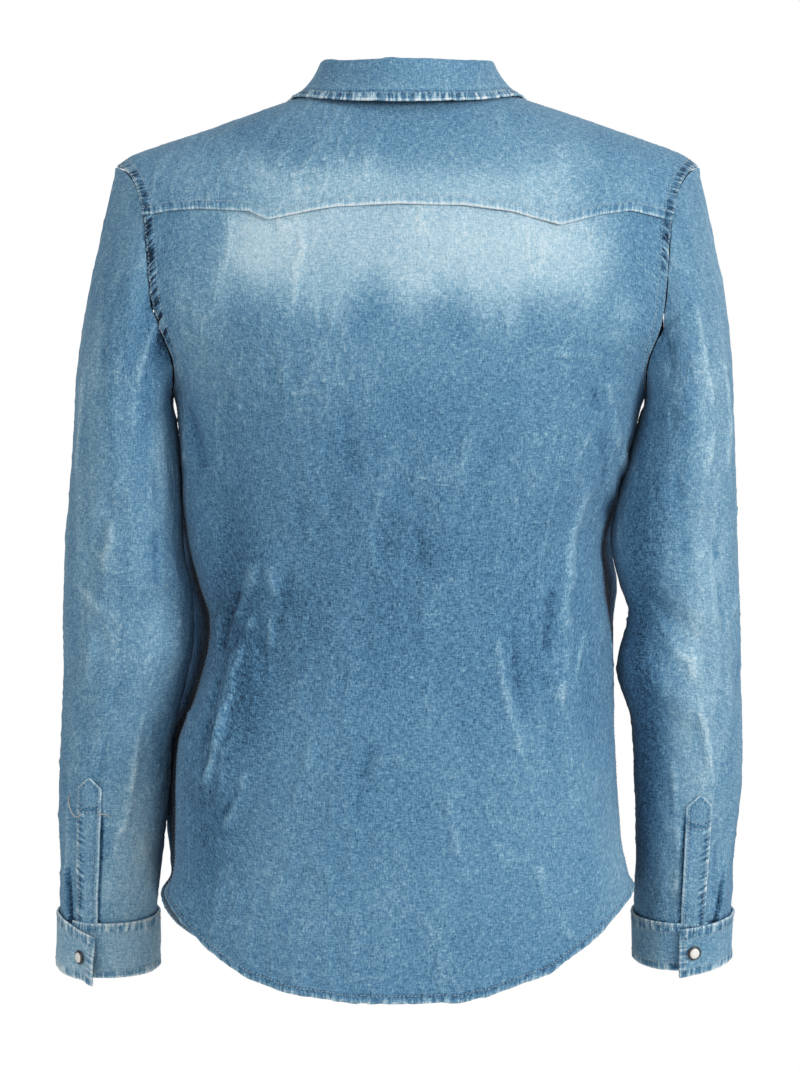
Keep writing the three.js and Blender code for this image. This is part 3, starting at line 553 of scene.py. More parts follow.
# The weave: uneven yarns both ways, with heather, clouds and a faint twill line
weave_group, given, result = new_group(
    "denim_weave", [("Cloth", "NodeSocketVector"), ("Slub", "NodeSocketFloat")], ["Tone", "Height"])
cloth_place = given.outputs["Cloth"]
grain = streaks(weave_group, cloth_place, (640, 480, 0))
warp = streaks(weave_group, cloth_place, (980, 190, 0))
weft = streaks(weave_group, cloth_place, (190, 980, 0))
heather = streaks(weave_group, cloth_place, (260, 170, 0), detail=3.0)
cloudy = streaks(weave_group, cloth_place, (28, 16, 0), detail=4.0)
twill = put(weave_group, "ShaderNodeTexWave", {"bands_direction": "DIAGONAL"}, Vector=cloth_place,
            Scale=330.0, Distortion=2.0, Detail=1.0, Detail_Scale=3.0)
twill_rise = centred(weave_group, twill.outputs["Fac"])
tone = sum_of(weave_group, (grain, 0.7), (warp, 0.5), (weft, 0.6), (heather, 0.4), (cloudy, 0.14),
              (twill_rise, 0.03))
weave_group.links.new(product(weave_group, tone, given.outputs["Slub"]), result.inputs["Tone"])
rise = sum_of(weave_group, (grain, 0.7), (warp, 0.4), (weft, 0.4), (twill_rise, 0.2))
weave_group.links.new(rise, result.inputs["Height"])

# Puckers: light and dark ripples across a stitched seam, level ones and upright ones apart
pucker_group, given, result = new_group(
    "seam_pucker", [("Cloth", "NodeSocketVector"), ("Seam", "NodeSocketVector")], ["Tone", "Height"])
cloth_place = given.outputs["Cloth"]
closeness = put(pucker_group, "ShaderNodeSeparateXYZ", Vector=given.outputs["Seam"])
ripples = []
for scale, share in (((320, 36, 0), "X"), ((36, 290, 0), "Y")):
    swell = streaks(pucker_group, cloth_place, scale, 2.0, 0.6)
    crisp = math_node(pucker_group, "MULTIPLY_ADD", swell, 5.5, 0.42, True)
    ripples.append((product(pucker_group, crisp, closeness.outputs[share]), closeness.outputs[share]))
bright = sum_of(pucker_group, (ripples[0][0], 0.5), (ripples[1][0], 0.56))
dull = sum_of(pucker_group, (ripples[0][1], -0.28), (ripples[1][1], -0.34))
pucker_group.links.new(math_node(pucker_group, "ADD", bright, dull), result.inputs["Tone"])
pucker_group.links.new(sum_of(pucker_group, (ripples[0][0], 1.0), (ripples[1][0], 1.0)),
                       result.inputs["Height"])

# Fine creases: pale hairlines of washed cloth in three sizes, each only in some places
crease_group, given, result = new_group(
    "fine_creases", [("Cloth", "NodeSocketVector")], ["Tone", "Height"])
cloth_place = given.outputs["Cloth"]
lines = []
for scale, sharpness, spread, at, rate in (((21, 6, 0), 26.0, (11, 5, 0), 0.0, 7.0),
                                           ((16, 30, 0), 24.0, (9, 13, 0), -0.25, 7.0),
                                           ((62, 26, 0), 15.0, (15, 9, 0), 0.1, 5.0)):
    wave = math_node(crease_group, "ABSOLUTE", streaks(crease_group, cloth_place, scale, 3.0, 0.5), 0.0)
    line = math_node(crease_group, "MULTIPLY_ADD", wave, -sharpness, 1.0, True)
    where = math_node(crease_group, "MULTIPLY_ADD", streaks(crease_group, cloth_place, spread, 2.0, 0.5),
                      rate, at, True)
    lines.append((product(crease_group, line, where), 1.0))
all_lines = sum_of(crease_group, *lines)
crease_group.links.new(all_lines, result.inputs["Tone"])
crease_group.links.new(all_lines, result.inputs["Height"])


def srgb(r, g, b):
    """A colour of the finished picture as the light that the shader takes"""
    light = [((c / 255 + 0.055) / 1.055) ** 2.4 if c > 10 else c / 255 / 12.92 for c in (r, g, b)]
    return *light, 1


# Colours of the face and of the paler reverse, from unwashed to bleached
INDIGO = [
    (0.0, srgb(20, 38, 60)),
    (0.2, srgb(50, 84, 112)),
    (0.35, srgb(72, 115, 148)),
    (0.47, srgb(91, 136, 168)),
    (0.58, srgb(111, 152, 178)),
    (0.7, srgb(139, 176, 197)),
    (0.82, srgb(170, 200, 215)),
    (0.92, srgb(196, 217, 226)),
    (1.0, srgb(222, 231, 235)),
]
INSIDE = [
    (0.0, srgb(62, 82, 104)),
    (0.5, srgb(122, 142, 158)),
    (1.0, srgb(186, 197, 204)),
]


def new_material(name):
    material = bpy.data.materials.new(name)
    material.use_nodes = True
    shader = material.node_tree.nodes["Principled BSDF"]
    return material, material.node_tree, shader


def denim_finish(name, colours, shift):
    """Denim coloured by its fade with painted shade, its creases, pale with wear on the crests and shaded
    in the troughs, its edges pale with wear, the weave and seams
    """
    material, tree, shader = new_material(name)
    cloth = put(tree, "ShaderNodeUVMap", {"uv_map": "weave"}).outputs["UV"]
    wash_and_shade = put(tree, "ShaderNodeAttribute", {"attribute_name": "wash_and_shade"})
    wash_and_shade = put(tree, "ShaderNodeSeparateXYZ", Vector=wash_and_shade.outputs["Vector"])
    seam = put(tree, "ShaderNodeAttribute", {"attribute_name": "seam"}).outputs["Vector"]
    slub = math_node(tree, "MULTIPLY_ADD", wash_and_shade.outputs["X"], -1.1, 1.47)
    weave = put(tree, "ShaderNodeGroup", {"node_tree": weave_group}, Cloth=cloth, Slub=slub)
    pucker = put(tree, "ShaderNodeGroup", {"node_tree": pucker_group}, Cloth=cloth, Seam=seam)
    creases = put(tree, "ShaderNodeGroup", {"node_tree": crease_group}, Cloth=cloth)
    tone = sum_of(tree, (wash_and_shade.outputs["X"], 1.0), (wash_and_shade.outputs["Y"], 0.15), (wash_and_shade.outputs["Z"], 0.28),
                  (weave.outputs["Tone"], 1.0), (pucker.outputs["Tone"], 1.0),
                  (creases.outputs["Tone"], 0.09))
    ramp = put(tree, "ShaderNodeValToRGB", Fac=math_node(tree, "ADD", tone, shift))
    stops = ramp.color_ramp.elements
    while len(stops) < len(colours):
        stops.new(0.5)
    for stop, (place, colour) in zip(stops, colours):
        stop.position = place
        stop.color = colour
    tree.links.new(ramp.outputs["Color"], shader.inputs["Base Color"])
    height = sum_of(tree, (weave.outputs["Height"], 1.0), (pucker.outputs["Height"], 2.0),
                    (creases.outputs["Height"], 2.0))
    bump = put(tree, "ShaderNodeBump", Strength=0.7, Distance=0.0005, Height=height)
    tree.links.new(bump.outputs["Normal"], shader.inputs["Normal"])
    shader.inputs["Roughness"].default_value = 0.92
    shader.inputs["Specular IOR Level"].default_value = 0.15
    shader.inputs["Sheen Weight"].default_value = 0.08
    shader.inputs["Sheen Roughness"].default_value = 0.5
    return material


denim = denim_finish("washed_denim", INDIGO, 0.0)
denim_inside = denim_finish("denim_reverse", INSIDE, -0.1)


def mottled(name, scale, dark, pale, roughness, detail=2.0):
    """A material that varies finely between two colours"""
    material, tree, shader = new_material(name)
    noise = put(tree, "ShaderNodeTexNoise", Scale=scale, Detail=detail)
    ramp = put(tree, "ShaderNodeValToRGB", Fac=noise.outputs["Fac"])
    ramp.color_ramp.elements[0].color = dark
    ramp.color_ramp.elements[1].color = pale
    tree.links.new(ramp.outputs["Color"], shader.inputs["Base Color"])
    shader.inputs["Roughness"].default_value = roughness
    return material, tree, shader, noise.outputs["Fac"]


thread, tree, shader, twist = mottled(
    "topstitch_thread", 1800.0, srgb(148, 146, 140), srgb(216, 212, 204), 0.75)
bump = put(tree, "ShaderNodeBump", Strength=0.5, Distance=0.0002, Height=twist)
tree.links.new(bump.outputs["Normal"], shader.inputs["Normal"])

# Topstitches of grey-beige thread: each is a small spindle that dips into the cloth at both ends
STITCH_PITCH = 3.1
STITCH_LENGTH = 2.1
STITCH_HALF = 0.46
STITCH_RISE = 0.5
STITCH_SIDE_RISE = 0.05
STITCH_ENDS_DIP = 0.2
STITCH_MIDDLE_DIP = 0.3
SPINDLE = [(0, 2, 3), (0, 3, 4), (0, 4, 5), (0, 5, 2), (1, 3, 2), (1, 4, 3), (1, 5, 4), (1, 2, 5)]


def inset_path(cloth, border, inset):
    """A line on the cloth's face that keeps its distance from one border"""
    away = cloth[border]
    points = cloth["points"]
    out = cloth["out"]
    if border in ("start", "end"):
        away, points, out = away.T, points.swapaxes(0, 1), out.swapaxes(0, 1)
    if border in ("top", "end"):
        away, points, out = away[::-1], points[::-1], out[::-1]
    path = []
    for k in range(away.shape[1]):
        place = np.interp(inset, away[:, k], np.arange(len(away)))
        low = min(int(place), len(away) - 2)
        t = place - low
        path.append(np.concatenate([mix(points[low, k], points[low + 1, k], t),
                                    mix(out[low, k], out[low + 1, k], t)]))
    return np.array(path)


def part_of(path, start, end):
    """The part of a line between two shares of its length"""
    low, high = int(start * (len(path) - 1)), int(math.ceil(end * (len(path) - 1)))
    return path[low:high + 1]


def thread_piece(name, points, faces):
    piece = new_mesh(name, points, faces)
    piece.data.materials.append(thread)
    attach(piece, "root")


def stitches(name, paths):
    """One mesh of all the stitches along the given lines"""
    points = []
    faces = []
    for path in paths:
        place = path[:, :3]
        run = np.concatenate([[0], np.cumsum(np.linalg.norm(np.diff(place, axis=0), axis=1))])
        starts = np.arange(STITCH_PITCH / 2, run[-1] - STITCH_PITCH, STITCH_PITCH)
        ends = [starts, starts + STITCH_LENGTH, starts + STITCH_LENGTH / 2]
        first, last, middle = (np.stack([np.interp(e, run, path[:, i]) for i in range(6)], -1)
                               for e in ends)
        out = unit(middle[:, 3:])
        along = unit(last[:, :3] - first[:, :3])
        side = np.cross(along, out)
        centre = middle[:, :3]
        group = np.stack([
            first[:, :3] - out * STITCH_ENDS_DIP,
            last[:, :3] - out * STITCH_ENDS_DIP,
            centre + out * STITCH_RISE,
            centre + side * STITCH_HALF + out * STITCH_SIDE_RISE,
            centre - out * STITCH_MIDDLE_DIP,
            centre - side * STITCH_HALF + out * STITCH_SIDE_RISE,
        ], 1)
        for spindle in group:
            faces.extend(tuple(len(points) + corner for corner in face) for face in SPINDLE)
            points.extend(spindle)
    thread_piece(name, np.array(points), faces)


# A panel's share of its height below the armhole, and how far in degrees its side seam lies in
SIDE_SHARE = 0.72
SIDE_INSET = 0.05
YOKE_LAP = 9
# The yoke's lower edge, which the top of the back follows under it
YOKE_EDGE = table("x z", [
    (214, -99), (190, -95), (165, -94), (125, -97), (110, -104), (95, -101), (56, -94), (6, -92),
    (-44, -93), (-83, -98), (-120, -108), (-152, -99), (-176, -95), (-192, -98), (-214, -103),
])
YOKE_ENDS = {1: -99, -1: -103}

# Folds and creases: where each starts and ends, x0, z0, x1, z1, its width and its height
BACK_FOLDS = [
    (118, -372, 152, -560, 17, 4.5),
    (150, -330, 105, -470, 16, -4),
    (-85, -420, -150, -330, 16, -3.5),
    (-120, -470, -152, -640, 16, 3.5),
]
BACK_CREASES = [
    (119, -414, 159, -546, 2.1, 2.6),
    (125, -408, 166, -540, 2.7, -2.2),
    (104, -388, 112, -478, 2.2, 2.2),
    (147, -414, 150, -450, 2, 1.8),
    (134, -552, 146, -576, 3, -2.2),
    (65, -524, 57, -546, 2.6, -1.6),
    (99, -312, 108, -358, 2.1, 2),
    (-76, -373, -84, -450, 2.2, 1.8),
    (-92, -420, -97, -531, 2.2, 2),
    (-144, -434, -128, -486, 2.1, 2.2),
    (-116, -213, -152, -212, 2.2, 1.6),
    (97, -322, 108, -398, 3.7, 2.3),
    (88, -330, 100, -420, 4.3, -2.2),
    (120, -380, 158, -545, 4.3, 2.9),
    (132, -400, 166, -520, 3.7, -2.3),
    (128, -540, 150, -600, 5, 1.7),
    (160, -300, 176, -250, 5, -2),
    (165, -330, 178, -290, 3.7, 1.7),
    (-73, -436, -88, -524, 3.7, 2),
    (-84, -430, -98, -512, 3.7, -1.9),
    (-144, -318, -120, -484, 5, 2.6),
    (-132, -330, -108, -470, 4.3, -2.2),
    (-150, -240, -170, -372, 4.3, -2.3),
    (-160, -232, -182, -330, 3.7, 2.2),
    (-128, -268, -158, -300, 4.3, 1.7),
    (60, -470, 88, -560, 4.3, 1.6),
    (30, -520, 52, -610, 5, -1.4),
    (-30, -560, -48, -640, 5, 1.4),
    (0, -300, -14, -380, 5.6, -1.2),
    (52, -240, 40, -300, 5.6, -1.2),
    (-60, -250, -44, -318, 5.6, 1.2),
    (90, -610, 120, -660, 4.3, 1.7),
    (-100, -620, -130, -668, 4.3, 1.7),
]


def side_border(hand, side, end_turn):
    """A panel's side border: up the side seam, then round the armhole to the end turn"""
    def border(v):
        z = mix(SIDE_HEM_Z, UNDERARM_Z - SEAM_GAP, np.minimum(v / SIDE_SHARE, 1))
        share = clamp((v - SIDE_SHARE) / (1 - SIDE_SHARE))
        underarm = -90 + side * SIDE_INSET
        across, climb, _ = armhole_place(mix(underarm, end_turn, share ** 0.8), hand)
        on_side = v <= SIDE_SHARE
        edge = hand * math.radians(90 - SIDE_INSET)
        return np.where(on_side, edge, across), np.where(on_side, z, climb)
    return border


def hem_z(across, lowest):
    q = oval(across, BODY_POWER)[0]
    return mix(lowest, SIDE_HEM_Z, np.abs(q) ** np.where(q > 0, HEM_CURVE["left"], HEM_CURVE["right"]))


def armhole_turn_at(z):
    return math.degrees(math.asin(((z - ARMHOLE_MID) / ARMHOLE_HALF) ** (ARMHOLE_POWER / 2)))


def armhole_x(z, hand):
    across, climb, side = armhole_place(np.array([armhole_turn_at(z)]), hand)
    return abs(body_point(across, climb, side)[0, 0])


def yoke_line(lap):
    left = armhole_x(YOKE_ENDS[1] + lap, 1)
    right = -armhole_x(YOKE_ENDS[-1] + lap, -1)

    def line(u):
        x = mix(left, right, u)
        return place_at(x, np.interp(x, YOKE_EDGE["x"], YOKE_EDGE["z"]) + lap, 1)
    return line


def back_hem(u):
    across = np.radians(mix(90 - SIDE_INSET, -90 + SIDE_INSET, u))
    return across, hem_z(across, BACK_HEM_Z)


def crumple(points):
    """The crushed surface of washed cloth, low everywhere, in millimetres"""
    bent = points + 7 * np.stack([lumps(points, 45, 11), lumps(points, 45, 12), lumps(points, 45, 13)], -1)
    broad = 0.5 * lumps(bent, (30, 30, 60), 14)
    crests = 1.5 * (sharp(bent, (18, 18, 40), 15) - 0.3)
    small = 0.8 * (sharp(bent, (8, 8, 15), 16) - 0.3)
    return broad + crests * clamp(1.5 * lumps(points, 60, 17) + 0.45) + small


def crest_wear_trough_shade(height):
    """Paler on the tops of creases, as wear, and darker in their troughs, a painted shade"""
    return smooth((height - 0.35) / 1.9) - 0.75 * smooth((-height - 0.3) / 1.9)


def patches(rows, x, z):
    """Soft pale or dark patches: middle, half widths and strength"""
    total = np.zeros(np.broadcast(x, z).shape)
    for px, pz, wide, tall, strength in rows:
        total += strength * np.exp(-((x - px) / wide) ** 2 - ((z - pz) / tall) ** 2)
    return total


# Pale and dark areas on the back, left by the wash, with painted shade of the folds at the left waist:
# x, z, half width, half height, strength
BACK_WASH_AND_SHADE = [
    (112, -124, 24, 18, 0.04),
    (-62, -122, 60, 22, 0.05),
    (-152, -130, 18, 20, 0.10),
    (-172, -176, 11, 12, 0.14),
    (-164, -196, 12, 8, 0.10),
    (168, -180, 26, 66, 0.10),
    (60, -150, 30, 12, -0.04),
    (14, -210, 130, 26, 0.06),
    (14, -290, 100, 60, -0.02),
    (12, -380, 90, 70, -0.06),
    (10, -455, 90, 50, -0.04),
    # Painted shade in the folds at the left waist, this and the next two
    (142, -400, 24, 80, -0.14),
    (128, -470, 20, 70, -0.14),
    (160, -570, 22, 80, -0.14),
    (90, -430, 22, 50, -0.05),
    (-100, -440, 30, 70, -0.07),
    (-150, -470, 22, 60, -0.04),
    (-120, -560, 40, 60, 0.05),
    (-168, -620, 14, 60, 0.10),
    (0, -640, 150, 40, 0.02),
]
BODY_TONE = 0.46
BLEACH_LOW_Z = -168
BLEACH_DEEP = 0.325


def bleached(points):
    """The band bleached across the shoulder blades, fading unevenly at its lower edge"""
    x = points[..., 0]
    low = BLEACH_LOW_Z - 14 * smooth((30 - x) / 120) + 9 * lumps(points, (26, 60, 90), 35)
    low = low + 5 * lumps(points, (9, 60, 40), 36)
    sides = smooth((178 - x + 14 * lumps(points, 22, 37)) / 64) * smooth((x + 186) / 64)
    return BLEACH_DEEP * sides * smooth((points[..., 2] - low + 26) / 58)


def broken_up(points):
    """Lets a long crease fade in and out on its way"""
    return clamp(0.6 + 0.9 * lumps(points, (16, 16, 24), 23))


def body_lift(points, rows, creases):
    """The folds and the fine creases of a body panel at its places"""
    x = points[..., 0] + 5 * lumps(points, 60, 21)
    z = points[..., 2] + 5 * lumps(points, 60, 22)
    fine = 1.25 * folds(creases, x, z) * broken_up(points) + crumple(points)
    return folds(rows, points[..., 0], points[..., 2]), fine


PANEL_RISE = 620
TOPSTITCH_IN = 5.5
TOPSTITCH_REACH = 3.5


def from_armhole(distance, v):
    """A distance from a panel's side border that is large along the side seam"""
    return distance + 60 * near(v[:, None] - SIDE_SHARE + 0.02, 0.02)


def stitched_band(distance):
    """1 from a seam to its topstitching, 0 beyond"""
    return near(distance - TOPSTITCH_IN, TOPSTITCH_REACH)


u = runs(0, 190, 1)
v = runs(0, 170, SIDE_SHARE, 72, 1)
back_places = patch(
    back_hem, yoke_line(YOKE_LAP),
    side_border(1, 1, armhole_turn_at(YOKE_ENDS[1] + YOKE_LAP)),
    side_border(-1, 1, armhole_turn_at(YOKE_ENDS[-1] + YOKE_LAP)), u, v)
points = body_point(*back_places, 1)
# The hem hangs in small waves
hem_waves = 1.7 * lumps(points, (19, 60, 400), 38) + 0.9 * lumps(points, (7, 60, 400), 39)
points[..., 2] += hem_waves * near(v[:, None] * PANEL_RISE, 12)
side_row = int(np.argmin(np.abs(v - SIDE_SHARE)))
back = lay_out(points, level_row=side_row)
main, fine = body_lift(back["points"], BACK_FOLDS, BACK_CREASES)
# Puckers along the armhole seams, fewer towards the underarm, and along the hem
by_armhole = from_armhole(np.minimum(back["start"], back["end"]), v)
x = back["points"][..., 0]
z = back["points"][..., 2]
puckered = np.where(x > 0, 0.15 + 0.85 * smooth((z + 215) / 30), 0.12 + 0.88 * smooth((z + 160) / 40))
armhole_band = 1.3 * stitched_band(by_armhole) * puckered
hem_band = 0.55 * near(back["bottom"] - 3, 3)
under_yoke = near(back["top"], 26)
# The hem curls and the seams ripple, and the cloth lies flatter beside them
curl = 2.2 * lumps(back["points"], (22, 60, 300), 31) * near(back["bottom"], 13)
ripple = lumps(back["points"], (9, 9, 4.2), 32) * armhole_band + 0.8 * armhole_band
ripple = ripple + 0.7 * lumps(back["points"], (5, 5, 9), 40) * hem_band
fine = fine * (1 - 0.8 * under_yoke) * (1 - 0.6 * armhole_band)
fine = fine * mix(0.45, 1, smooth((-150 - back["points"][..., 2]) / 80))
edge_fall = near(np.minimum(back["start"], back["end"]), 12)
lift = main + fine * (1 - 0.7 * edge_fall) + curl + ripple + 0.9 * near(back["bottom"] - 5, 3)
# The wash: the bleached band, patches of fade and of painted fold shade, and dark lines beside the
# stitched seams
fade = BODY_TONE + bleached(back["points"]) + patches(BACK_WASH_AND_SHADE, x, z)
fade = fade + 0.015 * lumps(back["points"], (30, 30, 70), 33) - 0.12 * armhole_band * (x > 0)
fade = fade - 0.16 * near(np.abs(back["bottom"] - 5.6), 1.6)
back = raise_cloth(back, lift)
edge = np.maximum(0.8 * near(back["bottom"], 2.6), 0.9 * near(by_armhole, 1.7) * smooth(puckered * 3))
wash_and_shade = (fade, crest_wear_trough_shade(fine), edge)
back_piece = cloth_piece("back_cloth", back, wash_and_shade, (hem_band, armhole_band))
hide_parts("back")
stitches("back_stitching", [
    inset_path(back, "bottom", TOPSTITCH_IN),
    part_of(inset_path(back, "start", 8), SIDE_SHARE, 1),
    part_of(inset_path(back, "end", 8), SIDE_SHARE, 1),
    part_of(inset_path(back, "start", 1.6), SIDE_SHARE, 1),
    part_of(inset_path(back, "end", 1.6), SIDE_SHARE, 1),
    part_of(inset_path(back, "start", 2), 0, SIDE_SHARE),
    part_of(inset_path(back, "end", 2), 0, SIDE_SHARE),
])

# Back yoke. A piece of the same denim goes over both shoulders. Its folded lower edge, cut to two
# points, is topstitched down over the top of the back panel.
SEAM_NECK_TURN = 68
SEAM_TIP_TURN = 98
SHOULDER_SHARE = 0.33
seam_neck = neck_place(np.array([float(SEAM_NECK_TURN)]))
seam_tip = armhole_place(np.array([float(SEAM_TIP_TURN)]), 1)
seam_neck_x = body_point(*seam_neck)[0, 0]
seam_tip_x = body_point(*seam_tip)[0, 0]


def shoulder_seam(x, side):
    share = clamp((np.abs(x) - seam_neck_x) / (seam_tip_x - seam_neck_x))
    climb = mix(counted_from(side, *seam_neck)[1], counted_from(side, *seam_tip)[1], share)
    return across_shoulder(x), climb - SEAM_GAP


def yoke_top(u):
    hand = np.where(u < 0.5, 1, -1)
    share = np.minimum(u, 1 - u) / SHOULDER_SHARE
    on_shoulder = shoulder_seam(hand * mix(seam_tip_x, seam_neck_x, clamp(share)), 1)
    turn = mix(SEAM_NECK_TURN, -SEAM_NECK_TURN, clamp((u - SHOULDER_SHARE) / (1 - 2 * SHOULDER_SHARE)))
    on_neck = neck_place(turn)
    return tuple(np.where(share < 1, a, b) for a, b in zip(on_shoulder, on_neck))


def yoke_side(hand):
    def border(v):
        turn = mix(armhole_turn_at(YOKE_ENDS[hand]), SEAM_TIP_TURN, v)
        return counted_from(1, *armhole_place(turn, hand))
    return border


YOKE_CREASES = [
    (150, -40, 190, -60, 4.3, 1.3),
    (-150, -40, -196, -64, 4.3, 1.3),
    (90, -20, 120, -60, 5.6, -1.2),
    (-80, -16, -104, -58, 5.6, -1.2),
    (20, -20, 30, -70, 6.2, 1),
]
YOKE_WASH = [
    (-52, -62, 60, 22, 0.05),
    (-100, -40, 40, 24, 0.05),
    (120, -30, 36, 22, -0.03),
    (168, -76, 26, 26, 0.06),
    (-172, -80, 24, 20, 0.03),
    (0, -12, 90, 12, -0.02),
]
YOKE_TONE = 0.5
YOKE_PALE = 0.205


def pale_below(points):
    """The yoke grows paler towards its lower edge, over the bleached band"""
    x = points[..., 0]
    high = -46 + 9 * lumps(points, (40, 60, 60), 45) + 22 * smooth((np.abs(x) - 100) / 60)
    sides = smooth((160 - x) / 60) * smooth((x + 165) / 60)
    return YOKE_PALE * sides * smooth((high - points[..., 2]) / 34)


u = runs(0, 70, SHOULDER_SHARE, 84, 1 - SHOULDER_SHARE, 70, 1)
v = runs(0, 80, 1)
yoke_places = patch(yoke_line(0), yoke_top, yoke_side(1), yoke_side(-1), u, v)
yoke = lay_out(body_point(*yoke_places, 1))
_, fine = body_lift(yoke["points"], BACK_FOLDS, YOKE_CREASES)
# Puckers along the armholes, the lower edge and the shoulder seams
by_armhole = np.minimum(yoke["start"], yoke["end"])
armhole_band = stitched_band(by_armhole)
towards_ends = smooth((np.abs(yoke["points"][..., 0]) - 120) / 60)
edge_band = near(yoke["bottom"] - 5, 3) * (0.22 + 0.3 * towards_ends)
shoulders = 0.4 * near(yoke["top"] - 1, 4)
fine = fine * (1 - 0.7 * near(yoke["bottom"], 26)) * (1 - 0.8 * near(yoke["top"], 14)) * 0.5
fine = fine * (1 - 0.6 * armhole_band)
# The seams ripple, except at the shoulder tips, and the lower edge lifts in places
tips = smooth((yoke["points"][..., 2] + 72) / 14)
ripple = (lumps(yoke["points"], (9, 9, 4.2), 42) + 0.8) * armhole_band * (1 - tips)
ripple = ripple + 0.6 * lumps(yoke["points"], (6, 6, 6), 46) * edge_band
curl = np.maximum(0, 1.4 * lumps(yoke["points"], (24, 90, 300), 43) + 0.5) * near(yoke["bottom"], 7)
# The wash: paler towards the bleached band, with patches
fade = YOKE_TONE + pale_below(yoke["points"])
fade = fade + patches(YOKE_WASH, yoke["points"][..., 0], yoke["points"][..., 2])
fade = fade + 0.02 * lumps(yoke["points"], (60, 60, 30), 44) - 0.06 * armhole_band
yoke = raise_cloth(yoke, ON_TOP + fine + ripple + curl)
edge = np.maximum(near(yoke["bottom"], 2.4), 0.9 * near(by_armhole, 1.7))
yoke_piece = cloth_piece("back_yoke_cloth", yoke, (fade, crest_wear_trough_shade(fine), edge),
                         (edge_band + shoulders, armhole_band))
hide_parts("back_yoke")
stitches("yoke_stitching", [
    inset_path(yoke, "bottom", 6.8),
    inset_path(yoke, "top", 2),
    inset_path(yoke, "start", 8),
    inset_path(yoke, "end", 8),
    inset_path(yoke, "start", 1.6),
    inset_path(yoke, "end", 1.6),
])

# Fronts and front band. Two pieces of the same denim are sewn to the back at the side seams. The
# left one lies over the right, and a straight band is sewn on its edge to carry the snap caps.
BAND_X = 16
BAND_CLOTH = 1.6
LAP_GAP = 0.7
STRIP_SHARE = 0.12
NECK_SHARE = 0.4
NECK_COLUMN = STRIP_SHARE + (1 - STRIP_SHARE) * NECK_SHARE
FRONT_FOLDS = [
    (60, -380, 140, -300, 18, -4),
    (-60, -390, -135, -310, 18, -4),
    (90, -470, 130, -620, 18, 3.5),
    (-95, -460, -125, -640, 18, 3.5),
]
FRONT_CREASES = [
    (150, -250, 120, -330, 5, 2.2),
    (-150, -250, -118, -340, 5, 2.2),
    (140, -360, 110, -440, 4.3, -2),
    (-140, -370, -112, -450, 4.3, -2),
    (60, -520, 84, -620, 5, 1.9),
    (-60, -510, -80, -620, 5, 1.9),
    (110, -120, 80, -190, 6.2, 1.4),
    (-110, -120, -82, -190, 6.2, 1.4),
]
FRONT_WASH = [
    (90, -130, 70, 60, 0.20),
    (-90, -130, 70, 60, 0.20),
    (0, -400, 140, 140, -0.04),
]


def strip_place(x, v):
    """The place in the middle strip of a front, from the hem to the neck"""
    neck_turn = 180 - np.degrees(np.arcsin(np.asarray(x, float) / NECK_X))
    top = counted_from(-1, *neck_place(neck_turn))[1]
    return place_at_climb(x, mix(FRONT_HEM_Z, top, v), -1)


def strip_surface(hand, strip, v):
    x = hand * mix(-BAND_X, BAND_X, strip / STRIP_SHARE)
    return body_point(*strip_place(x[None, :], v[:, None]), -1)


def front_surface(hand, strip, rest, v):
    """The middle strip of a front, then the panel from it to the side seam"""
    stop_turn = 180 - math.degrees(math.asin(BAND_X / NECK_X))
    hem_start = strip_place(hand * BAND_X, 0.0)[0]

    def hem(u):
        across = mix(hem_start, hand * math.radians(90 - SIDE_INSET), u)
        return across, hem_z(across, FRONT_HEM_Z)

    def top(u):
        turn = hand * mix(stop_turn, SEAM_NECK_TURN, clamp(u / NECK_SHARE))
        on_neck = counted_from(-1, *neck_place(turn))
        share = clamp((u - NECK_SHARE) / (1 - NECK_SHARE))
        on_shoulder = shoulder_seam(hand * mix(seam_neck_x, seam_tip_x, share), -1)
        return tuple(np.where(u < NECK_SHARE, a, b) for a, b in zip(on_neck, on_shoulder))

    def start(v):
        across, climb = strip_place(hand * BAND_X, v)
        return np.broadcast_to(across, v.shape), climb

    places = patch(hem, top, start, side_border(hand, -1, SEAM_TIP_TURN - 360),
                   (rest - STRIP_SHARE) / (1 - STRIP_SHARE), v)
    return np.concatenate([strip_surface(hand, strip, v), body_point(*places, -1)[:, 1:]], 1)


strip = runs(0, 10, STRIP_SHARE)
rest = runs(STRIP_SHARE, 28, NECK_COLUMN, 44, 1)
SIDE_ROWS = 130
front_v = runs(0, SIDE_ROWS, SIDE_SHARE, 60, 1)
columns = np.concatenate([strip, rest[1:]])


def front_lift(cloth):
    """The folds and the creases of a front, calmer towards its seams and its middle"""
    main, fine = body_lift(cloth["points"], FRONT_FOLDS, FRONT_CREASES)
    calm = (1 - 0.8 * near(cloth["top"], 14)) * (1 - 0.7 * near(cloth["end"], 12))
    return main, fine * calm * mix(0.35, 1, smooth((cloth["start"] - 20) / 30))


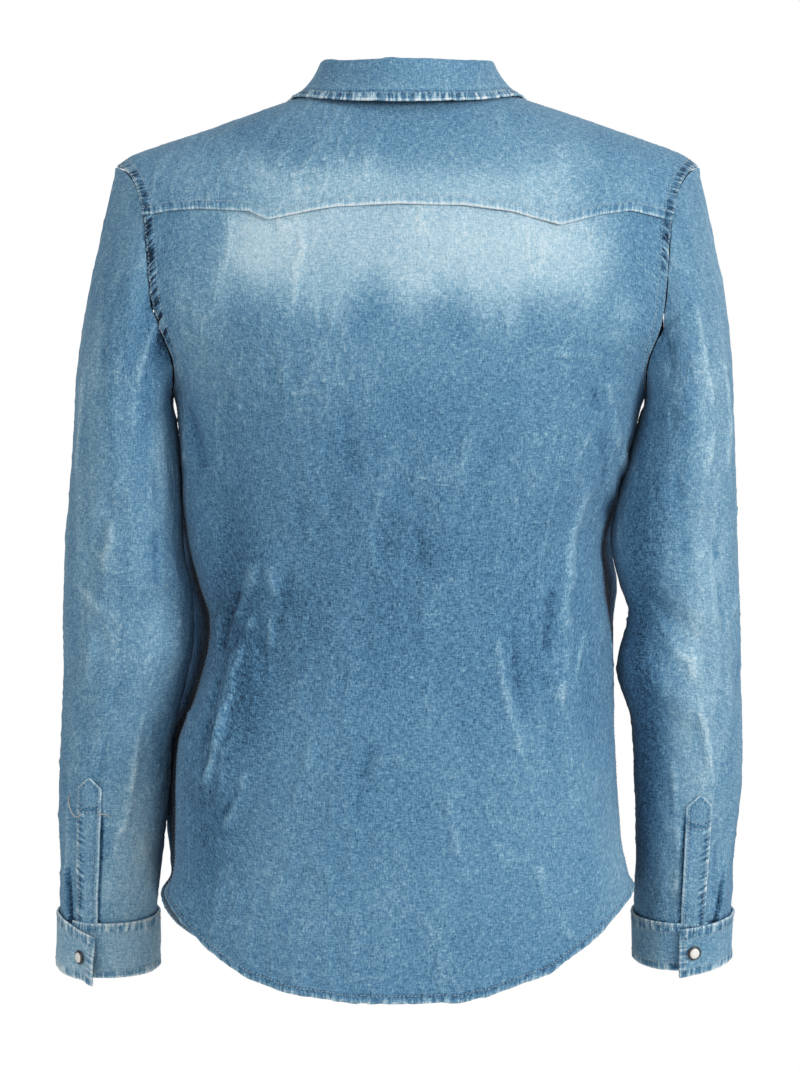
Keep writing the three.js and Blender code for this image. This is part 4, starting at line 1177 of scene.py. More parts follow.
for name, hand in (("left", 1), ("right", -1)):
    front = lay_out(front_surface(hand, strip, rest, front_v), hand, level_row=SIDE_ROWS)
    if hand > 0:
        left_front = front
    main, fine = front_lift(front)
    # The right front sinks under the lap. Seams pucker and the hem curls
    under_band = -ON_TOP * (1 - smooth((columns - STRIP_SHARE) / 0.05)) if hand < 0 else 0
    armhole_band = stitched_band(from_armhole(front["end"], front_v))
    hem_band = 0.55 * near(front["bottom"] - 3, 3)
    from_side = front["end"] + 200 * smooth((front_v[:, None] - SIDE_SHARE) / 0.04)
    curl = 1.4 * lumps(front["points"], (22, 60, 300), 51) * near(front["bottom"], 14)
    curl = curl * smooth((front["start"] - 30) / 20)
    # The wash, with painted shade beside the side seam, where the front shows past the back
    fade = BODY_TONE + patches(FRONT_WASH, front["points"][..., 0], front["points"][..., 2])
    fade = fade + 0.02 * lumps(front["points"], (30, 30, 70), 52) - 0.46 * near(from_side - 25, 45)
    front = raise_cloth(front, main + fine + curl + under_band)
    wash_and_shade = (fade, crest_wear_trough_shade(fine), 0.8 * near(front["bottom"], 2.6))
    piece = cloth_piece(f"{name}_front_cloth", front, wash_and_shade, (hem_band, armhole_band))
    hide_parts(f"{name}_front")
    stitches(f"{name}_front_stitching", [
        inset_path(front, "bottom", TOPSTITCH_IN),
        part_of(inset_path(front, "end", 8), SIDE_SHARE, 1),
    ])

band = lay_out(strip_surface(1, strip, front_v))
rows_main, rows_fine = (part[:, :len(strip)] for part in front_lift(left_front))
# The band rides on the folds of the left front, and is paler at its worn edges
sides = np.minimum(band["start"], band["end"])
fade = BODY_TONE + 0.06 + patches(FRONT_WASH, band["points"][..., 0], band["points"][..., 2])
band = raise_cloth(band, rows_main + rows_fine + LAP_GAP + BAND_CLOTH)
band_piece = cloth_piece("front_band_cloth", band, (fade, crest_wear_trough_shade(rows_fine), near(sides, 2.4)),
                         (near(band["bottom"] - 3, 7), near(sides - 3, 6)), BAND_CLOTH)
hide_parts("front_band")
stitches("front_band_stitching", [
    inset_path(band, "start", 5),
    inset_path(band, "end", 5),
])

# Collar stand. A doubled band of denim is sewn on round the neck seam and rises from it. Its left
# end laps over its right, where the collar snap closes it.
STAND_CLOTH = 1.8
STAND_LAP = 14
STAND_SEAT = ON_TOP + SEAM_GAP + 0.6
STAND_END = 180 + STAND_LAP
# At each turn from the back: the stand's height, and the leaf's edge, fall and lift off the yoke
COLLAR = table("turn stand edge_x fall off", [
    (0, 28.8, 0, 10, 6),
    (15, 27.6, 23, 11, 5.5),
    (30, 24.4, 45, 13, 3.5),
    (45, 21, 65, 14, 1.5),
    (60, 19.2, 79, 12, 0.3),
    (75, 19.2, 89, 8, 0),
    (97, 20, 97, 0, 0),
    (135, 20, 84, 27, 0),
    (160, 20, 61, 48, 0),
    (172, 20, 44, 55, 0),
])


def stand_point(turn, up):
    away = np.minimum(np.abs(turn), 174)
    foot = body_point(*place_under(*neck_plan(turn, 0)))
    height = read(COLLAR, away, "stand") * up
    s = np.sin(np.radians(turn))
    c = np.cos(np.radians(turn))
    lean = 0.1 * c + 0.04
    return foot + np.stack([-s * lean * height, -(c * lean + 0.12) * height, STAND_SEAT + height], -1)


def stand_turns(turn):
    return turn - STAND_LAP / 2


turn = runs(-180, 160, STAND_END)[None, :]
up = runs(0, 12, 1)[:, None]
stand = lay_out(stand_point(*np.broadcast_arrays(stand_turns(turn), up)), -1)
# The lapped end steps out over the other one
lift = STAND_CLOTH + (STAND_CLOTH + LAP_GAP) * smooth((turn - STAND_END + 48) / 18)
fade = YOKE_TONE + 0.04 * lumps(stand["points"], 30, 61)
stand = raise_cloth(stand, lift)
rim = np.minimum(stand["bottom"], stand["top"])
stand_piece = cloth_piece("collar_stand_cloth", stand, (fade, 0.0, near(rim, 2)),
                          (near(rim - 2, 5), 0.0), STAND_CLOTH)
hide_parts("collar_stand")
stitches("collar_stand_stitching", [inset_path(stand, "bottom", 3)])

# Collar leaf. A doubled piece of denim sewn to the top of the stand turns over it in a soft, wavy
# fold. It falls to the shoulders, with puckered topstitching and two points at the front.
LEAF_CLOTH = 2
LEAF_CLEAR = 5.6
LEAF_GAP = 0.4
LEAF_SEAT = ON_TOP + LEAF_CLOTH + LAP_GAP + LEAF_GAP
LEAF_END = 172


def leaf_surface(turn, down):
    """From the fold over the stand, down 0, to the edge that lies on the shoulders, down 1"""
    away = np.abs(turn)
    hand = np.sign(turn)
    out = np.stack([np.sin(np.radians(turn)), np.cos(np.radians(turn)), np.zeros_like(turn)], -1)
    bend = np.sqrt(np.maximum(0, 1 - (1 - clamp(down * 4)) ** 2))
    clear = LEAF_CLEAR + ON_TOP * smooth((away - 130) / 25)
    fold = stand_point(turn, np.ones_like(turn)) + out * (clear * (0.55 + 0.45 * bend))[..., None]
    fold[..., 2] += 2.6 * bend + LEAF_GAP
    x, y = neck_plan(away, 4)
    _, neck_climb, side = place_under(x, y)
    climb = neck_climb - read(COLLAR, away, "fall") * down
    across = place_at_climb(hand * mix(x, read(COLLAR, away, "edge_x"), down), climb, side)[0]
    lying = body_point(across, climb, side)
    faced = unit(np.cross(body_point(across + 0.01, climb, side) - lying,
                          body_point(across, climb + 1, side) - lying))
    wrong = np.sum(faced * out, -1) + faced[..., 2] < 0
    faced = np.where(wrong[..., None], -faced, faced)
    lying = lying + faced * (LEAF_SEAT + read(COLLAR, away, "off"))[..., None]
    return mix(fold, lying, smooth(down * 1.15)[..., None])


turn, down = np.meshgrid(runs(-LEAF_END, 300, LEAF_END), runs(0, 12, 0.25, 32, 1))
leaf = lay_out(leaf_surface(turn, down))
leaf_edge = np.minimum(leaf["top"], np.minimum(leaf["start"], leaf["end"]))
# Puckers inside the topstitching, and a soft wave along the fold
pucker = near(leaf["top"] - 6, 3)
fine = 0.4 * crumple(leaf["points"])
ripple = 0.8 * lumps(leaf["points"], (4.4, 4.4, 12), 71) * pucker
wave = 2.6 * lumps(leaf["points"], (13, 13, 60), 72) * near(leaf["bottom"], 12)
# The wash, with a dark line beside the stitches and a pale one past it
fade = YOKE_TONE + 0.01 + 0.03 * lumps(leaf["points"], 24, 73) + 0.04 * pucker
fade = fade - 0.14 * near(np.abs(leaf["top"] - 9.2), 1.8) + 0.05 * near(np.abs(leaf["top"] - 13), 4)
leaf = raise_cloth(leaf, np.maximum(0, fine * 0.6 + ripple + wave * 0.6))
leaf_ends = near(np.minimum(leaf["start"], leaf["end"]) - 6, 3)
leaf_piece = cloth_piece("collar_leaf_cloth", leaf, (fade, crest_wear_trough_shade(fine), near(leaf_edge, 2.2)),
                         (pucker, leaf_ends), LEAF_CLOTH)
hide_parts("collar_leaf")
stitches("collar_leaf_stitching", [
    part_of(inset_path(leaf, "top", 7), 0.02, 0.98),
    part_of(inset_path(leaf, "start", 7), 0.2, 0.86),
    part_of(inset_path(leaf, "end", 7), 0.2, 0.86),
])

# Sleeves. Each is one tube of denim that is set into the armhole at its head. It is crushed into
# creases at the elbow and pressed into a tuck beside the placket.
SLEEVES = {
    1: table("z outer inner mid half lean", [
        (-262, 269.5, 187.4, -2, 72, 0),
        (-300, 272, 183.8, -2, 68, 0),
        (-330, 274.5, 182.4, -2, 64, 0),
        (-366, 277.5, 181, -3, 60, 1),
        (-395, 278.5, 174.5, -5, 57, 2),
        (-440, 279, 173, -9, 54, 5),
        (-477, 280.5, 180.5, -15, 50, 9),
        (-520, 282.7, 191.5, -24, 46, 11),
        (-578, 285, 196, -36, 42, 12),
        (-610, 284.5, 200, -43, 40, 13),
        (-650, 284.6, 205, -52, 37, 13),
        (-715, 287, 205, -66, 36, 13),
    ]),
    -1: table("z outer inner mid half lean", [
        (-262, 264.5, 187.6, -2, 72, 0),
        (-300, 265.7, 176.2, -2, 68, 0),
        (-330, 266.8, 168.6, -2, 64, 0),
        (-358, 267.3, 165, -3, 60, 1),
        (-393, 268.6, 172, -5, 57, 2),
        (-417, 269.5, 179, -7, 55, 4),
        (-460, 270.5, 170, -12, 52, 7),
        (-503, 272, 182, -20, 48, 10),
        (-552, 272.5, 185.5, -30, 44, 12),
        (-621, 267.5, 187, -45, 39, 13),
        (-653, 266, 186, -53, 37, 13),
        (-715, 263, 188, -66, 36, 13),
    ]),
}
SLEEVE_POWER = 2.1
SLEEVE_TOP_Z = -262
CUFF_TOP_Z = -661
SLEEVE_END_Z = CUFF_TOP_Z - 17
MM_A_DEGREE = 0.85
TIP_STEP = 1

# Round the sleeve outward from the middle of its back in millimetres of cloth, and height:
# u0, z0, u1, z1, width, height
SLEEVE_FOLDS = {
    1: [
        (10, -330, 55, -470, 12, -3.5),
        (-40, -395, 20, -440, 11, -4),
        (-35, -440, 15, -500, 12, 3),
        (175, -400, 230, -450, 12, -4),
        (47, -625, 44, -664, 5, 2.6),
    ],
    -1: [
        (20, -340, 60, -480, 12, -3.5),
        (-45, -400, 15, -440, 11, -4),
        (-40, -450, 10, -500, 12, 3),
        (175, -400, 230, -450, 12, -4),
        (42, -622, 32, -664, 5, 2.6),
    ],
}
SLEEVE_CREASES = {
    1: [
        (-5, -166, -46, -193, 3, -2.6),
        (-20, -150, -10, -270, 3.7, 2.3),
        (20, -130, 26, -260, 4.3, -2),
        (45, -180, 50, -330, 4.3, 2),
        (0, -290, 12, -380, 3.7, 2.3),
        (-30, -300, -24, -390, 3.7, -2.2),
        (30, -420, 34, -520, 3.7, 2.2),
        (5, -470, 12, -560, 3.1, -2.2),
        (-20, -500, -14, -590, 3.7, 2.2),
        (40, -540, 44, -630, 3.1, 2),
        (-10, -590, -4, -650, 3.1, 1.7),
        (-45, -420, -10, -455, 3.1, 2),
        (60, -380, 20, -410, 3.7, 1.9),
        (120, -380, 160, -430, 5.6, 2.3),
        (140, -480, 160, -600, 5.6, -2.3),
        (100, -200, 110, -330, 6.2, 2),
    ],
    -1: [
        (6, -171, -26, -189, 3, -2.2),
        (-24, -160, -14, -280, 3.7, -2.2),
        (14, -150, 24, -290, 3.7, 2.3),
        (44, -200, 52, -360, 4.3, 2.2),
        (-4, -300, 8, -400, 3.7, -2.3),
        (30, -360, 36, -470, 3.7, -2.2),
        (-34, -410, 0, -450, 3.7, 2.2),
        (6, -450, 16, -550, 3.1, 2.3),
        (34, -480, 40, -590, 3.7, -2),
        (-14, -540, -6, -640, 3.1, 2),
        (24, -580, 28, -650, 3.1, -1.7),
        (60, -400, 30, -440, 3.7, 2),
        (120, -380, 160, -430, 5.6, 2.3),
        (140, -480, 160, -600, 5.6, -2.3),
        (100, -200, 110, -330, 6.2, 2),
    ],
}
SLEEVE_TONE = 0.52
PLACKETS = {
    1: {"angle": 22, "tip_z": -541, "cuff_edge": 11, "cuff_end_z": -705},
    -1: {"angle": 9, "tip_z": -554, "cuff_edge": -5, "cuff_end_z": -699},
}


def round_sleeve(turn):
    """Millimetres of cloth round a sleeve from the middle of its back, outward"""
    return np.where(turn > 280, turn - 360, turn) * MM_A_DEGREE


def sleeve_section(hand, turn, z):
    """Turn 90 is the outer side of the sleeve, 0 its back and -90 its inner side"""
    rows = SLEEVES[hand]
    outer = read(rows, z, "outer")
    inner = read(rows, z, "inner")
    half = read(rows, z, "half")
    lean = np.tan(np.radians(read(rows, z, "lean")))
    out, back = oval(np.radians(turn), SLEEVE_POWER)
    x = hand * ((outer + inner) / 2 + (outer - inner) / 2 * out)
    y = read(rows, z, "mid") + half * back
    return np.stack(np.broadcast_arrays(x, y, z - lean * half * back), -1)


def sleeve_head(hand, turn, t):
    """Curves from the armhole into the top section of the sleeve"""
    start = body_point(*armhole_place(turn, hand))
    to = sleeve_section(hand, turn, np.full_like(turn, SLEEVE_TOP_Z))
    s = np.sin(np.radians(turn))
    c = np.cos(np.radians(turn))
    above = 0.25 * np.maximum(0, s) ** 2
    below = 0.42 * np.minimum(0, s) ** 2
    leave = unit(np.stack([hand * (0.5 * c * c + above + below), 0.15 * c, -np.ones_like(c)], -1))
    start = start + leave * 0.8
    start[..., 0] += hand * (0.8 + TIP_STEP * np.maximum(0, s) ** 2)
    reach = np.linalg.norm(to - start, axis=-1)[:, None]
    t = t[:, None, None]
    point = start * (2 * t ** 3 - 3 * t ** 2 + 1) + to * (3 * t ** 2 - 2 * t ** 3)
    point = point + leave * reach * (t ** 3 - 2 * t ** 2 + t)
    down = np.array([0, 0, -1.0])
    return point + down * reach * (t ** 3 - t ** 2)


def sleeve_lift(hand, turn, points):
    """The folds and the fine creases of a sleeve at its places"""
    wrapped = round_sleeve(turn)
    z = points[..., 2]
    started = smooth((SLEEVE_TOP_Z - z) / 60)
    main = folds(SLEEVE_FOLDS[hand], wrapped, z) * started
    main = main + 0.9 * np.exp(-((z + 270) / 26) ** 2) * near(np.abs(turn + 90), 60)
    creases = folds(SLEEVE_CREASES[hand], wrapped + 4 * lumps(points, 50, 81),
                    z + 4 * lumps(points, 50, 82))
    fine = creases * broken_up(points) + 0.9 * crumple(points)
    fine = fine * smooth((-60 - z) / 60) * smooth((z - CUFF_TOP_Z) / 16)
    return main, fine


# Pale and dark areas of the sleeves: fade and streaks, painted shade in the armpits and on the inner sides
# next to the body, and painted light low on the left sleeve: x, z, half width, half height, strength
SLEEVE_WASH_AND_SHADE = {
    1: [
        # Painted shade in the armpit
        (194, -197, 9, 16, -0.30),
        (246, -210, 2.5, 70, 0.09),
        (252, -310, 3, 70, 0.07),
        (236, -230, 2.4, 60, -0.08),
        (264, -340, 2.5, 110, 0.06),
        (228, -420, 2.5, 80, -0.07),
        (258, -330, 12, 160, 0.04),
        # Painted shade below the armpit, this and the next
        (212, -230, 16, 60, -0.12),
        (200, -190, 12, 40, -0.10),
        (196, -420, 14, 60, 0.05),
        (222, -330, 14, 90, 0.03),
        (250, -120, 14, 50, -0.06),
        (236, -480, 30, 90, 0.03),
        (218, -610, 26, 50, 0.04),
        (196, -300, 14, 60, 0.08),
        (250, -640, 30, 36, 0.12),
        # Painted light where the sleeve lies in shade beside the body
        (214, -606, 16, 60, 0.17),
    ],
    -1: [
        # Painted shade under the armpit
        (-208, -204, 11, 10, -0.16),
        (-236, -260, 2.5, 90, 0.07),
        (-246, -380, 2.5, 90, 0.06),
        (-222, -340, 2.5, 80, -0.08),
        (-250, -330, 16, 200, 0.07),
        (-196, -300, 20, 90, -0.10),
        # Painted shade on the inner side, next to the body, this and the next
        (-188, -420, 16, 110, -0.18),
        (-196, -560, 14, 110, -0.20),
        (-222, -250, 12, 40, -0.08),
        (-240, -560, 22, 90, 0.06),
        (-226, -450, 20, 70, 0.06),
        (-204, -640, 12, 40, -0.06),
        (-250, -400, 14, 60, 0.04),
        (-228, -500, 20, 80, 0.06),
        (-204, -604, 12, 50, 0.12),
        (-234, -340, 22, 110, 0.06),
    ],
}
# Where the open edge of each placket lies round its sleeve, and from where down its shadow shows
OPEN_EDGE = {1: 6.5, -1: -4.5}
SHADOW_TOP_Z = -575
# The pressed tuck beside each placket: where it starts and ends round the sleeve, and its heights
TUCKS = {1: (46, -612, 40, -664), -1: (42, -618, 33, -664)}
SLEEVE_AROUND = 144
HEAD_ROWS = 62

for name, hand in (("left", 1), ("right", -1)):
    turn = -90 + 360 * np.arange(SLEEVE_AROUND) / SLEEVE_AROUND
    head = sleeve_head(hand, turn, runs(0, HEAD_ROWS, 1))[:-1]
    arm = sleeve_section(hand, turn[None, :], mix(SLEEVE_TOP_Z, SLEEVE_END_Z, runs(0, 180, 1))[:, None])
    sleeve = lay_out(np.concatenate([head, arm]), hand, True, middle=0.25, level_row=HEAD_ROWS)
    z = sleeve["points"][..., 2]
    main, fine = sleeve_lift(hand, np.broadcast_to(turn, sleeve["across"].shape), sleeve["points"])
    # The head is eased into the armhole in soft gathers
    gathers = 0.8 * lumps(sleeve["points"], (14, 14, 14), 83) * near(sleeve["bottom"] - 2, 22)
    gathers = gathers * smooth(sleeve["bottom"] / 8)
    # A pressed tuck runs beside the placket, down to the cuff
    wrapped = round_sleeve(turn)
    start_at, start_z, end_at, end_z = TUCKS[hand]
    beside = wrapped - mix(start_at, end_at, (z - start_z) / (end_z - start_z))
    low = smooth((start_z - z) / 30)
    tuck = (2.4 * smooth((beside + 2) / 4) * near(beside, 9) - 1.2 * near(np.abs(beside + 2), 3)) * low
    # The wash with painted shade patches, and painted shadows in the tuck, over the cuff and under the
    # placket
    fade = SLEEVE_TONE + patches(SLEEVE_WASH_AND_SHADE[hand], sleeve["points"][..., 0], z)
    fade = fade + 0.05 * lumps(sleeve["points"], (9, 9, 90), 84) + 0.02 * lumps(sleeve["points"], 40, 85)
    fade = fade - 0.5 * low * near(np.abs(beside + 2), 3.4) - 0.3 * near(np.abs(sleeve["top"] - 17), 3)
    under_placket = near(np.abs(wrapped - OPEN_EDGE[hand]), 2.6) * smooth((SHADOW_TOP_Z - z) / 12)
    fade = fade - 0.4 * under_placket
    # The head stands up a little at the shoulder tip
    tip = 1.2 * near(sleeve["bottom"], 9) * np.maximum(0, np.sin(np.radians(turn))) ** 3
    sleeve = raise_cloth(sleeve, main + fine + gathers + tuck + tip)
    wash_and_shade = (fade, crest_wear_trough_shade(fine), 0.2 * near(sleeve["bottom"], 2))
    piece = cloth_piece(f"{name}_sleeve_cloth", sleeve, wash_and_shade, (0.3 * near(sleeve["top"] - 8, 8), 0.0))
    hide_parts(f"{name}_sleeve")

# Cuffs. A doubled band of denim closes round each wrist and laps over its own end. It is sewn on
# over the end of the sleeve, with puckered topstitching along its edges and a snap at the lap.
CUFF_CLOTH = 1.8
CUFF_LAP = 38
CUFF_EASE = 24
CUFF_END_TURN = 390
CUFF_PALER = {1: 0.12, -1: 0.0}
# How far the lapped end of each cuff hangs, at its upper and lower edge, and how far it curls out
CUFF_HANG = {1: (11, 4, 6.5), -1: (4.5, 5, 1.5)}
HANG_TURN = 46


def cuff_hang(hand, turn, down):
    top, bottom, _ = CUFF_HANG[hand]
    return mix(top, bottom, down) * clamp(1 - np.abs(turn) / HANG_TURN) ** 1.3


def cuff_point(hand, turn, down):
    """A place on a cuff, with its lapped end hanging down"""
    cut = PLACKETS[hand]
    point = sleeve_section(hand, cut["cuff_edge"] + turn, mix(CUFF_TOP_Z, cut["cuff_end_z"], down))
    point[..., 2] -= cuff_hang(hand, turn, down)
    return point


def cuff_curl(hand, turn, down):
    """The lapped end rolls outward, more towards the lower edge"""
    lip = CUFF_HANG[hand][2] * near(turn, 15) - 0.8 * near(np.abs(turn - 18), 8)
    return lip * smooth((down - 0.12) / 0.5)


def cuff_lift(u):
    return LAP_GAP + CUFF_CLOTH + (CUFF_CLOTH + LAP_GAP) * (1 - smooth((u - CUFF_LAP) / CUFF_EASE))


for name, hand in (("left", 1), ("right", -1)):
    turn, down = np.meshgrid(runs(0, 40, 40, 140, CUFF_END_TURN), runs(0, 24, 1))
    cuff = lay_out(cuff_point(hand, turn, down), hand, middle=0.0)
    level_rim = np.minimum(cuff["bottom"], cuff["top"])
    rim = np.minimum(level_rim, cuff["start"])
    # The edges pucker between their rows of stitches, and the lapped end curls
    ripple = 0.7 * lumps(cuff["points"], (4.6, 4.6, 12), 91) * near(level_rim - 4, 3)
    fine = 0.5 * lumps(cuff["points"], 12, 92)
    curl = cuff_curl(hand, turn, down)
    # The wash, with painted shade where the cuff goes under its own lapped end
    fade = YOKE_TONE + 0.09 + 0.05 * lumps(cuff["points"], 16, 93) - 0.14 * near(np.abs(turn - 364), 26)
    fade = fade + CUFF_PALER[hand]
    cuff = raise_cloth(cuff, cuff_lift(turn) + np.maximum(-0.2, ripple + fine) + curl)
    puckers = 0.9 * near(cuff["bottom"] - 6, 3) + 0.75 * near(cuff["top"] - 4.5, 2.5)
    piece = cloth_piece(f"{name}_cuff_cloth", cuff, (fade, crest_wear_trough_shade(fine), near(rim, 2.0)),
                        (puckers, 0.6 * near(cuff["start"] - 4, 3)), CUFF_CLOTH)
    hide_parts(f"{name}_cuff")
    stitches(f"{name}_cuff_stitching", [
        inset_path(cuff, "bottom", 1.6),
        inset_path(cuff, "bottom", 7.6),
        inset_path(cuff, "top", 5.6),
        part_of(inset_path(cuff, "start", 3.6), 0.1, 0.9),
    ])

# Sleeve plackets. A pointed strip of denim covers the slit above each cuff. It is topstitched
# along its edges and crossed by a double bar of stitches, the left one with loose thread ends.
PLACKET_HALF_TURN = 12.5
PLACKET_POINT = 9
BAR_DOWN = 24

for name, hand in (("left", 1), ("right", -1)):
    angle = PLACKETS[hand]["angle"]
    tip_z = PLACKETS[hand]["tip_z"]
    side, down = np.meshgrid(runs(-1, 14, 1), runs(0, 18, 0.14, 46, 1))
    # The foot of the strip follows the cuff's lapped end where it hangs
    hang = cuff_hang(hand, angle + side * PLACKET_HALF_TURN - PLACKETS[hand]["cuff_edge"], 0)
    z = mix(tip_z, CUFF_TOP_Z + 1 - hang, down)
    widen = np.minimum(1, 0.06 + (tip_z - z) / PLACKET_POINT)
    turn = angle + side * widen * PLACKET_HALF_TURN
    placket = lay_out(sleeve_section(hand, turn, z), hand)
    main, fine = sleeve_lift(hand, turn, placket["points"])
    # Below the bar the open side of the strip gapes, and its sewn side puckers
    opened = smooth((tip_z - BAR_DOWN - 6 - z) / 20) * smooth((z - CUFF_TOP_Z - 6) / 20)
    gape = 2.2 * smooth((-side - 0.2) / 0.8) * opened
    rim = np.minimum(np.minimum(placket["start"], placket["end"]), placket["bottom"] + 2)
    stitched = near(placket["end"] - 4, 4)
    ripple = 0.7 * lumps(placket["points"], (12, 12, 4.4), 95) * stitched
    fade = YOKE_TONE + 0.06 + 0.05 * lumps(placket["points"], 16, 96) - 0.12 * near(np.abs(rim - 3.2), 1.8)
    fade = fade - 0.2 * near(np.abs(placket["bottom"] - BAR_DOWN - 2.5), 4)
    placket = raise_cloth(placket, main + np.maximum(fine, fine * 0.5) + LAP_GAP + CLOTH + gape + ripple)
    piece = cloth_piece(f"{name}_placket_cloth", placket, (fade, crest_wear_trough_shade(fine), near(rim, 1.6)),
                        (0.0, 0.8 * stitched * smooth((placket["bottom"] - BAR_DOWN) / 6)))
    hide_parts(f"{name}_sleeve_placket")
    stitches(f"{name}_placket_stitching", [
        part_of(inset_path(placket, "start", 2), 0.05, 1),
        part_of(inset_path(placket, "end", 2), 0.05, 1),
        inset_path(placket, "bottom", BAR_DOWN),
        inset_path(placket, "bottom", BAR_DOWN + 5),
    ])

# The loose thread ends: turn round the left sleeve, height, and how far off the sleeve they stand
THREAD_RADIUS = 0.4
THREAD_AROUND = 6
THREAD_ENDS = {
    "left_placket_thread_end": [(30, -571, 3), (34, -573.5, 4), (39, -574.5, 4.5), (44, -572, 4.5),
                                (48, -567.5, 4), (50, -562.5, 3), (49, -558, 2.2)],
    "left_placket_thread_start": [(12, -571, 3), (7, -569.8, 3.4), (3, -570.5, 2.4), (0, -572, 1.6)],
}
for name, ends in THREAD_ENDS.items():
    turn, z, off = np.array(ends, float).T
    path = sleeve_section(1, turn, z)
    path[:, 1] += off
    bend = unit(np.gradient(path, axis=0))
    across = unit(np.cross(bend, [0, 1.0, 0]))
    rise = np.cross(bend, across)
    angle = np.radians(360 / THREAD_AROUND * np.arange(THREAD_AROUND))[None, :, None]
    round_it = across[:, None] * np.cos(angle) + rise[:, None] * np.sin(angle)
    ring = path[:, None] + THREAD_RADIUS * round_it
    faces = grid_faces(len(path), THREAD_AROUND, True).tolist()
    faces += [loop[::-1].tolist() for loop in border_loops(len(path), THREAD_AROUND, True)]
    thread_piece(name, ring.reshape(-1, 3), faces)

# Snaps. A white pearl cap sits in a dark metal ring that is pressed through the cloth: seven down
# the front band, one on the collar stand and one on each cuff.
pearl, _, shader, _ = mottled(
    "snap_pearl_cap", 260.0, srgb(216, 214, 206), srgb(250, 249, 245), 0.22, detail=3.0)
shader.inputs["Coat Weight"].default_value = 0.5
ring_metal, _, shader, _ = mottled(
    "snap_ring_metal", 900.0, srgb(52, 52, 56), srgb(112, 112, 116), 0.38, detail=3.0)
shader.inputs["Metallic"].default_value = 1.0

FRONT_SNAPS = 7
FIRST_SNAP_Z = -98
SNAP_SPACING = 86
COLLAR_SNAP_UP = 0.45
CUFF_SNAP_TURN = 12
CUFF_SNAP_DOWN = 0.52
SNAP_SEAT = 0.6
SNAP_AROUND = 40
# Radius and height of the corners of the cap and of the ring
CAP_PROFILE = [(0, 0.2), (4.1, 0.2), (4.3, 1.5), (4.1, 2.1), (3.3, 2.7), (2, 3.0), (0.8, 3.1), (0, 3.1)]
RING_PROFILE = [(3.9, 0.0), (5.7, 0.0), (5.9, 0.5), (5.7, 1.2), (5.1, 1.75), (4.5, 1.8), (4.1, 1.4)]


def turned(name, profile, closed, at, out):
    """A piece turned round the outward direction at a point"""
    out = Vector(out)
    spin = out.to_track_quat("Z", "Y").to_matrix()
    points = []
    for radius, height in profile:
        for k in range(SNAP_AROUND):
            angle = 2 * math.pi * k / SNAP_AROUND
            place = spin @ Vector((radius * math.cos(angle), radius * math.sin(angle), height))
            points.append(np.array(at) + np.array(place))
    faces = []
    count = len(profile)
    for i in range(count if closed else count - 1):
        for k in range(SNAP_AROUND):
            a = i * SNAP_AROUND + k
            b = i * SNAP_AROUND + (k + 1) % SNAP_AROUND
            c = (i + 1) % count * SNAP_AROUND
            faces.append((a, b, c + (k + 1) % SNAP_AROUND, c + k))
    return new_mesh(name, np.array(points), faces)


def add_snap(name, at, out):
    cap = turned(f"{name}_pearl", CAP_PROFILE, False, at, out)
    cap.data.materials.append(pearl)
    ring = turned(f"{name}_ring", RING_PROFILE, True, at, out)
    ring.data.materials.append(ring_metal)
    for piece, slot in ((cap, "snap_pearl"), (ring, "snap_ring")):
        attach(piece, "root")
    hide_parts(name)


def on_surface(surface, u, v, facing, height):
    """A point at a height over a surface, and the outward direction there"""
    step = 0.01
    du = surface(u + step, v) - surface(u - step, v)
    dv = surface(u, v + step) - surface(u, v - step)
    out = unit(np.cross(du, dv)) * facing
    return surface(u, v) + out * height, out


def band_surface(u, v):
    across, climb = strip_place(mix(-BAND_X, BAND_X, u), v)
    return body_point(across, climb, -1)


def stand_surface(u, v):
    return stand_point(stand_turns(u), v)


def cuff_surface(hand):
    def surface(u, v):
        flat, beside, below = (cuff_point(hand, np.array([turn]), np.array([down]))[0]
                               for turn, down in ((u, v), (u + 0.5, v), (u, v + 0.01)))
        out = unit(np.cross(beside - flat, below - flat)) * hand
        return flat + out * cuff_curl(hand, u, v)
    return surface


strip_top = strip_place(0.0, 1.0)[1]
for i in range(FRONT_SNAPS):
    climb = place_at(np.array(0.0), np.array(FIRST_SNAP_Z - SNAP_SPACING * i), -1)[1]
    share = (climb - FRONT_HEM_Z) / (strip_top - FRONT_HEM_Z)
    seat = on_surface(band_surface, 0.5, share, 1, LAP_GAP + BAND_CLOTH + SNAP_SEAT)
    add_snap(f"front_snap_{i + 1}", *seat)
add_snap("collar_snap", *on_surface(stand_surface, 180 + STAND_LAP / 2, COLLAR_SNAP_UP, -1,
                                    2 * STAND_CLOTH + LAP_GAP + SNAP_SEAT))
for name, hand in (("left", 1), ("right", -1)):
    seat = on_surface(cuff_surface(hand), CUFF_SNAP_TURN, CUFF_SNAP_DOWN, hand,
                      2 * (LAP_GAP + CUFF_CLOTH) + SNAP_SEAT)
    add_snap(f"{name}_cuff_snap", *seat)

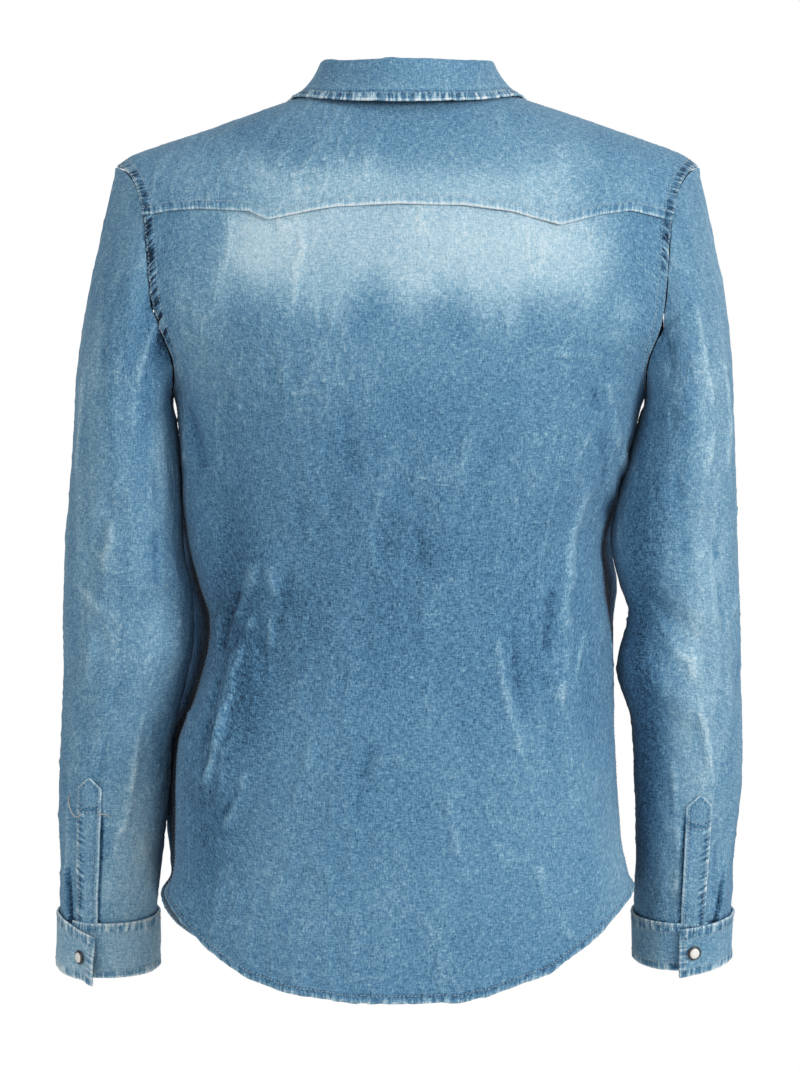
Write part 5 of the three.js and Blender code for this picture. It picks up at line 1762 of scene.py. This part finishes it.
# The studio. A round pale floor lies well below the shirt, with soft lights and a white surround.
# The camera stands level behind the shirt, four metres away. Lengths here are in metres.
FLOOR_Z = -0.92
FLOOR_RADIUS = 0.6
bpy.ops.mesh.primitive_circle_add(vertices=96, radius=FLOOR_RADIUS, fill_type="NGON",
                                  location=(0, 0, FLOOR_Z))
floor = bpy.context.object
floor.name = "studio_floor"
floor.data.materials.append(
    mottled("floor_paint", 3.0, (0.78, 0.78, 0.78, 1), (0.84, 0.84, 0.84, 1), 0.8)[0])

# The surround lights the shirt softly and shows pure white behind it
world = bpy.data.worlds.new("studio_surround")
bpy.context.scene.world = world
world.use_nodes = True
tree = world.node_tree
soft = tree.nodes["Background"]
soft.inputs["Color"].default_value = (1, 1, 1, 1)
soft.inputs["Strength"].default_value = 0.46
white = put(tree, "ShaderNodeBackground", Color=(1, 1, 1, 1), Strength=1.0)
seen = put(tree, "ShaderNodeLightPath")
either = put(tree, "ShaderNodeMixShader", i0=seen.outputs["Is Camera Ray"], i1=soft.outputs[0],
             i2=white.outputs[0])
tree.links.new(either.outputs[0], tree.nodes["World Output"].inputs["Surface"])

# The lamps face the middle of the shirt: the place, width and power in watts of each
AIM = Vector((0, 0, -0.33))
for name, place, size, power in (
    ("key_light", (-2.6, 2.2, 0.6), 1.3, 74),
    ("fill_light", (1.9, 3.0, 0.2), 2.4, 29),
    ("top_light", (0.0, 0.6, 2.4), 1.8, 8),
    ("front_light", (-0.6, -2.8, 0.8), 2.2, 40),
):
    lamp = bpy.data.lights.new(name, "AREA")
    lamp.shape = "DISK"
    lamp.size = size
    lamp.energy = power
    light = bpy.data.objects.new(name, lamp)
    light.location = place
    light.rotation_euler = (AIM - Vector(place)).to_track_quat("-Z", "Y").to_euler()
    bpy.context.scene.collection.objects.link(light)

CAMERA_AWAY = 4
CAMERA_X = 0.006
CAMERA_Z = -0.352
VIEW_WIDTH = 0.648
SENSOR_MM = 36
lens = bpy.data.cameras.new("camera")
lens.sensor_fit = "HORIZONTAL"
lens.sensor_width = SENSOR_MM
lens.lens = SENSOR_MM * CAMERA_AWAY / VIEW_WIDTH
camera = bpy.data.objects.new("camera", lens)
camera.location = (CAMERA_X, CAMERA_AWAY, CAMERA_Z)
camera.rotation_euler = (math.radians(90), 0, math.radians(180))
bpy.context.scene.collection.objects.link(camera)
bpy.context.scene.camera = camera
bpy.context.scene.view_settings.view_transform = "Standard"
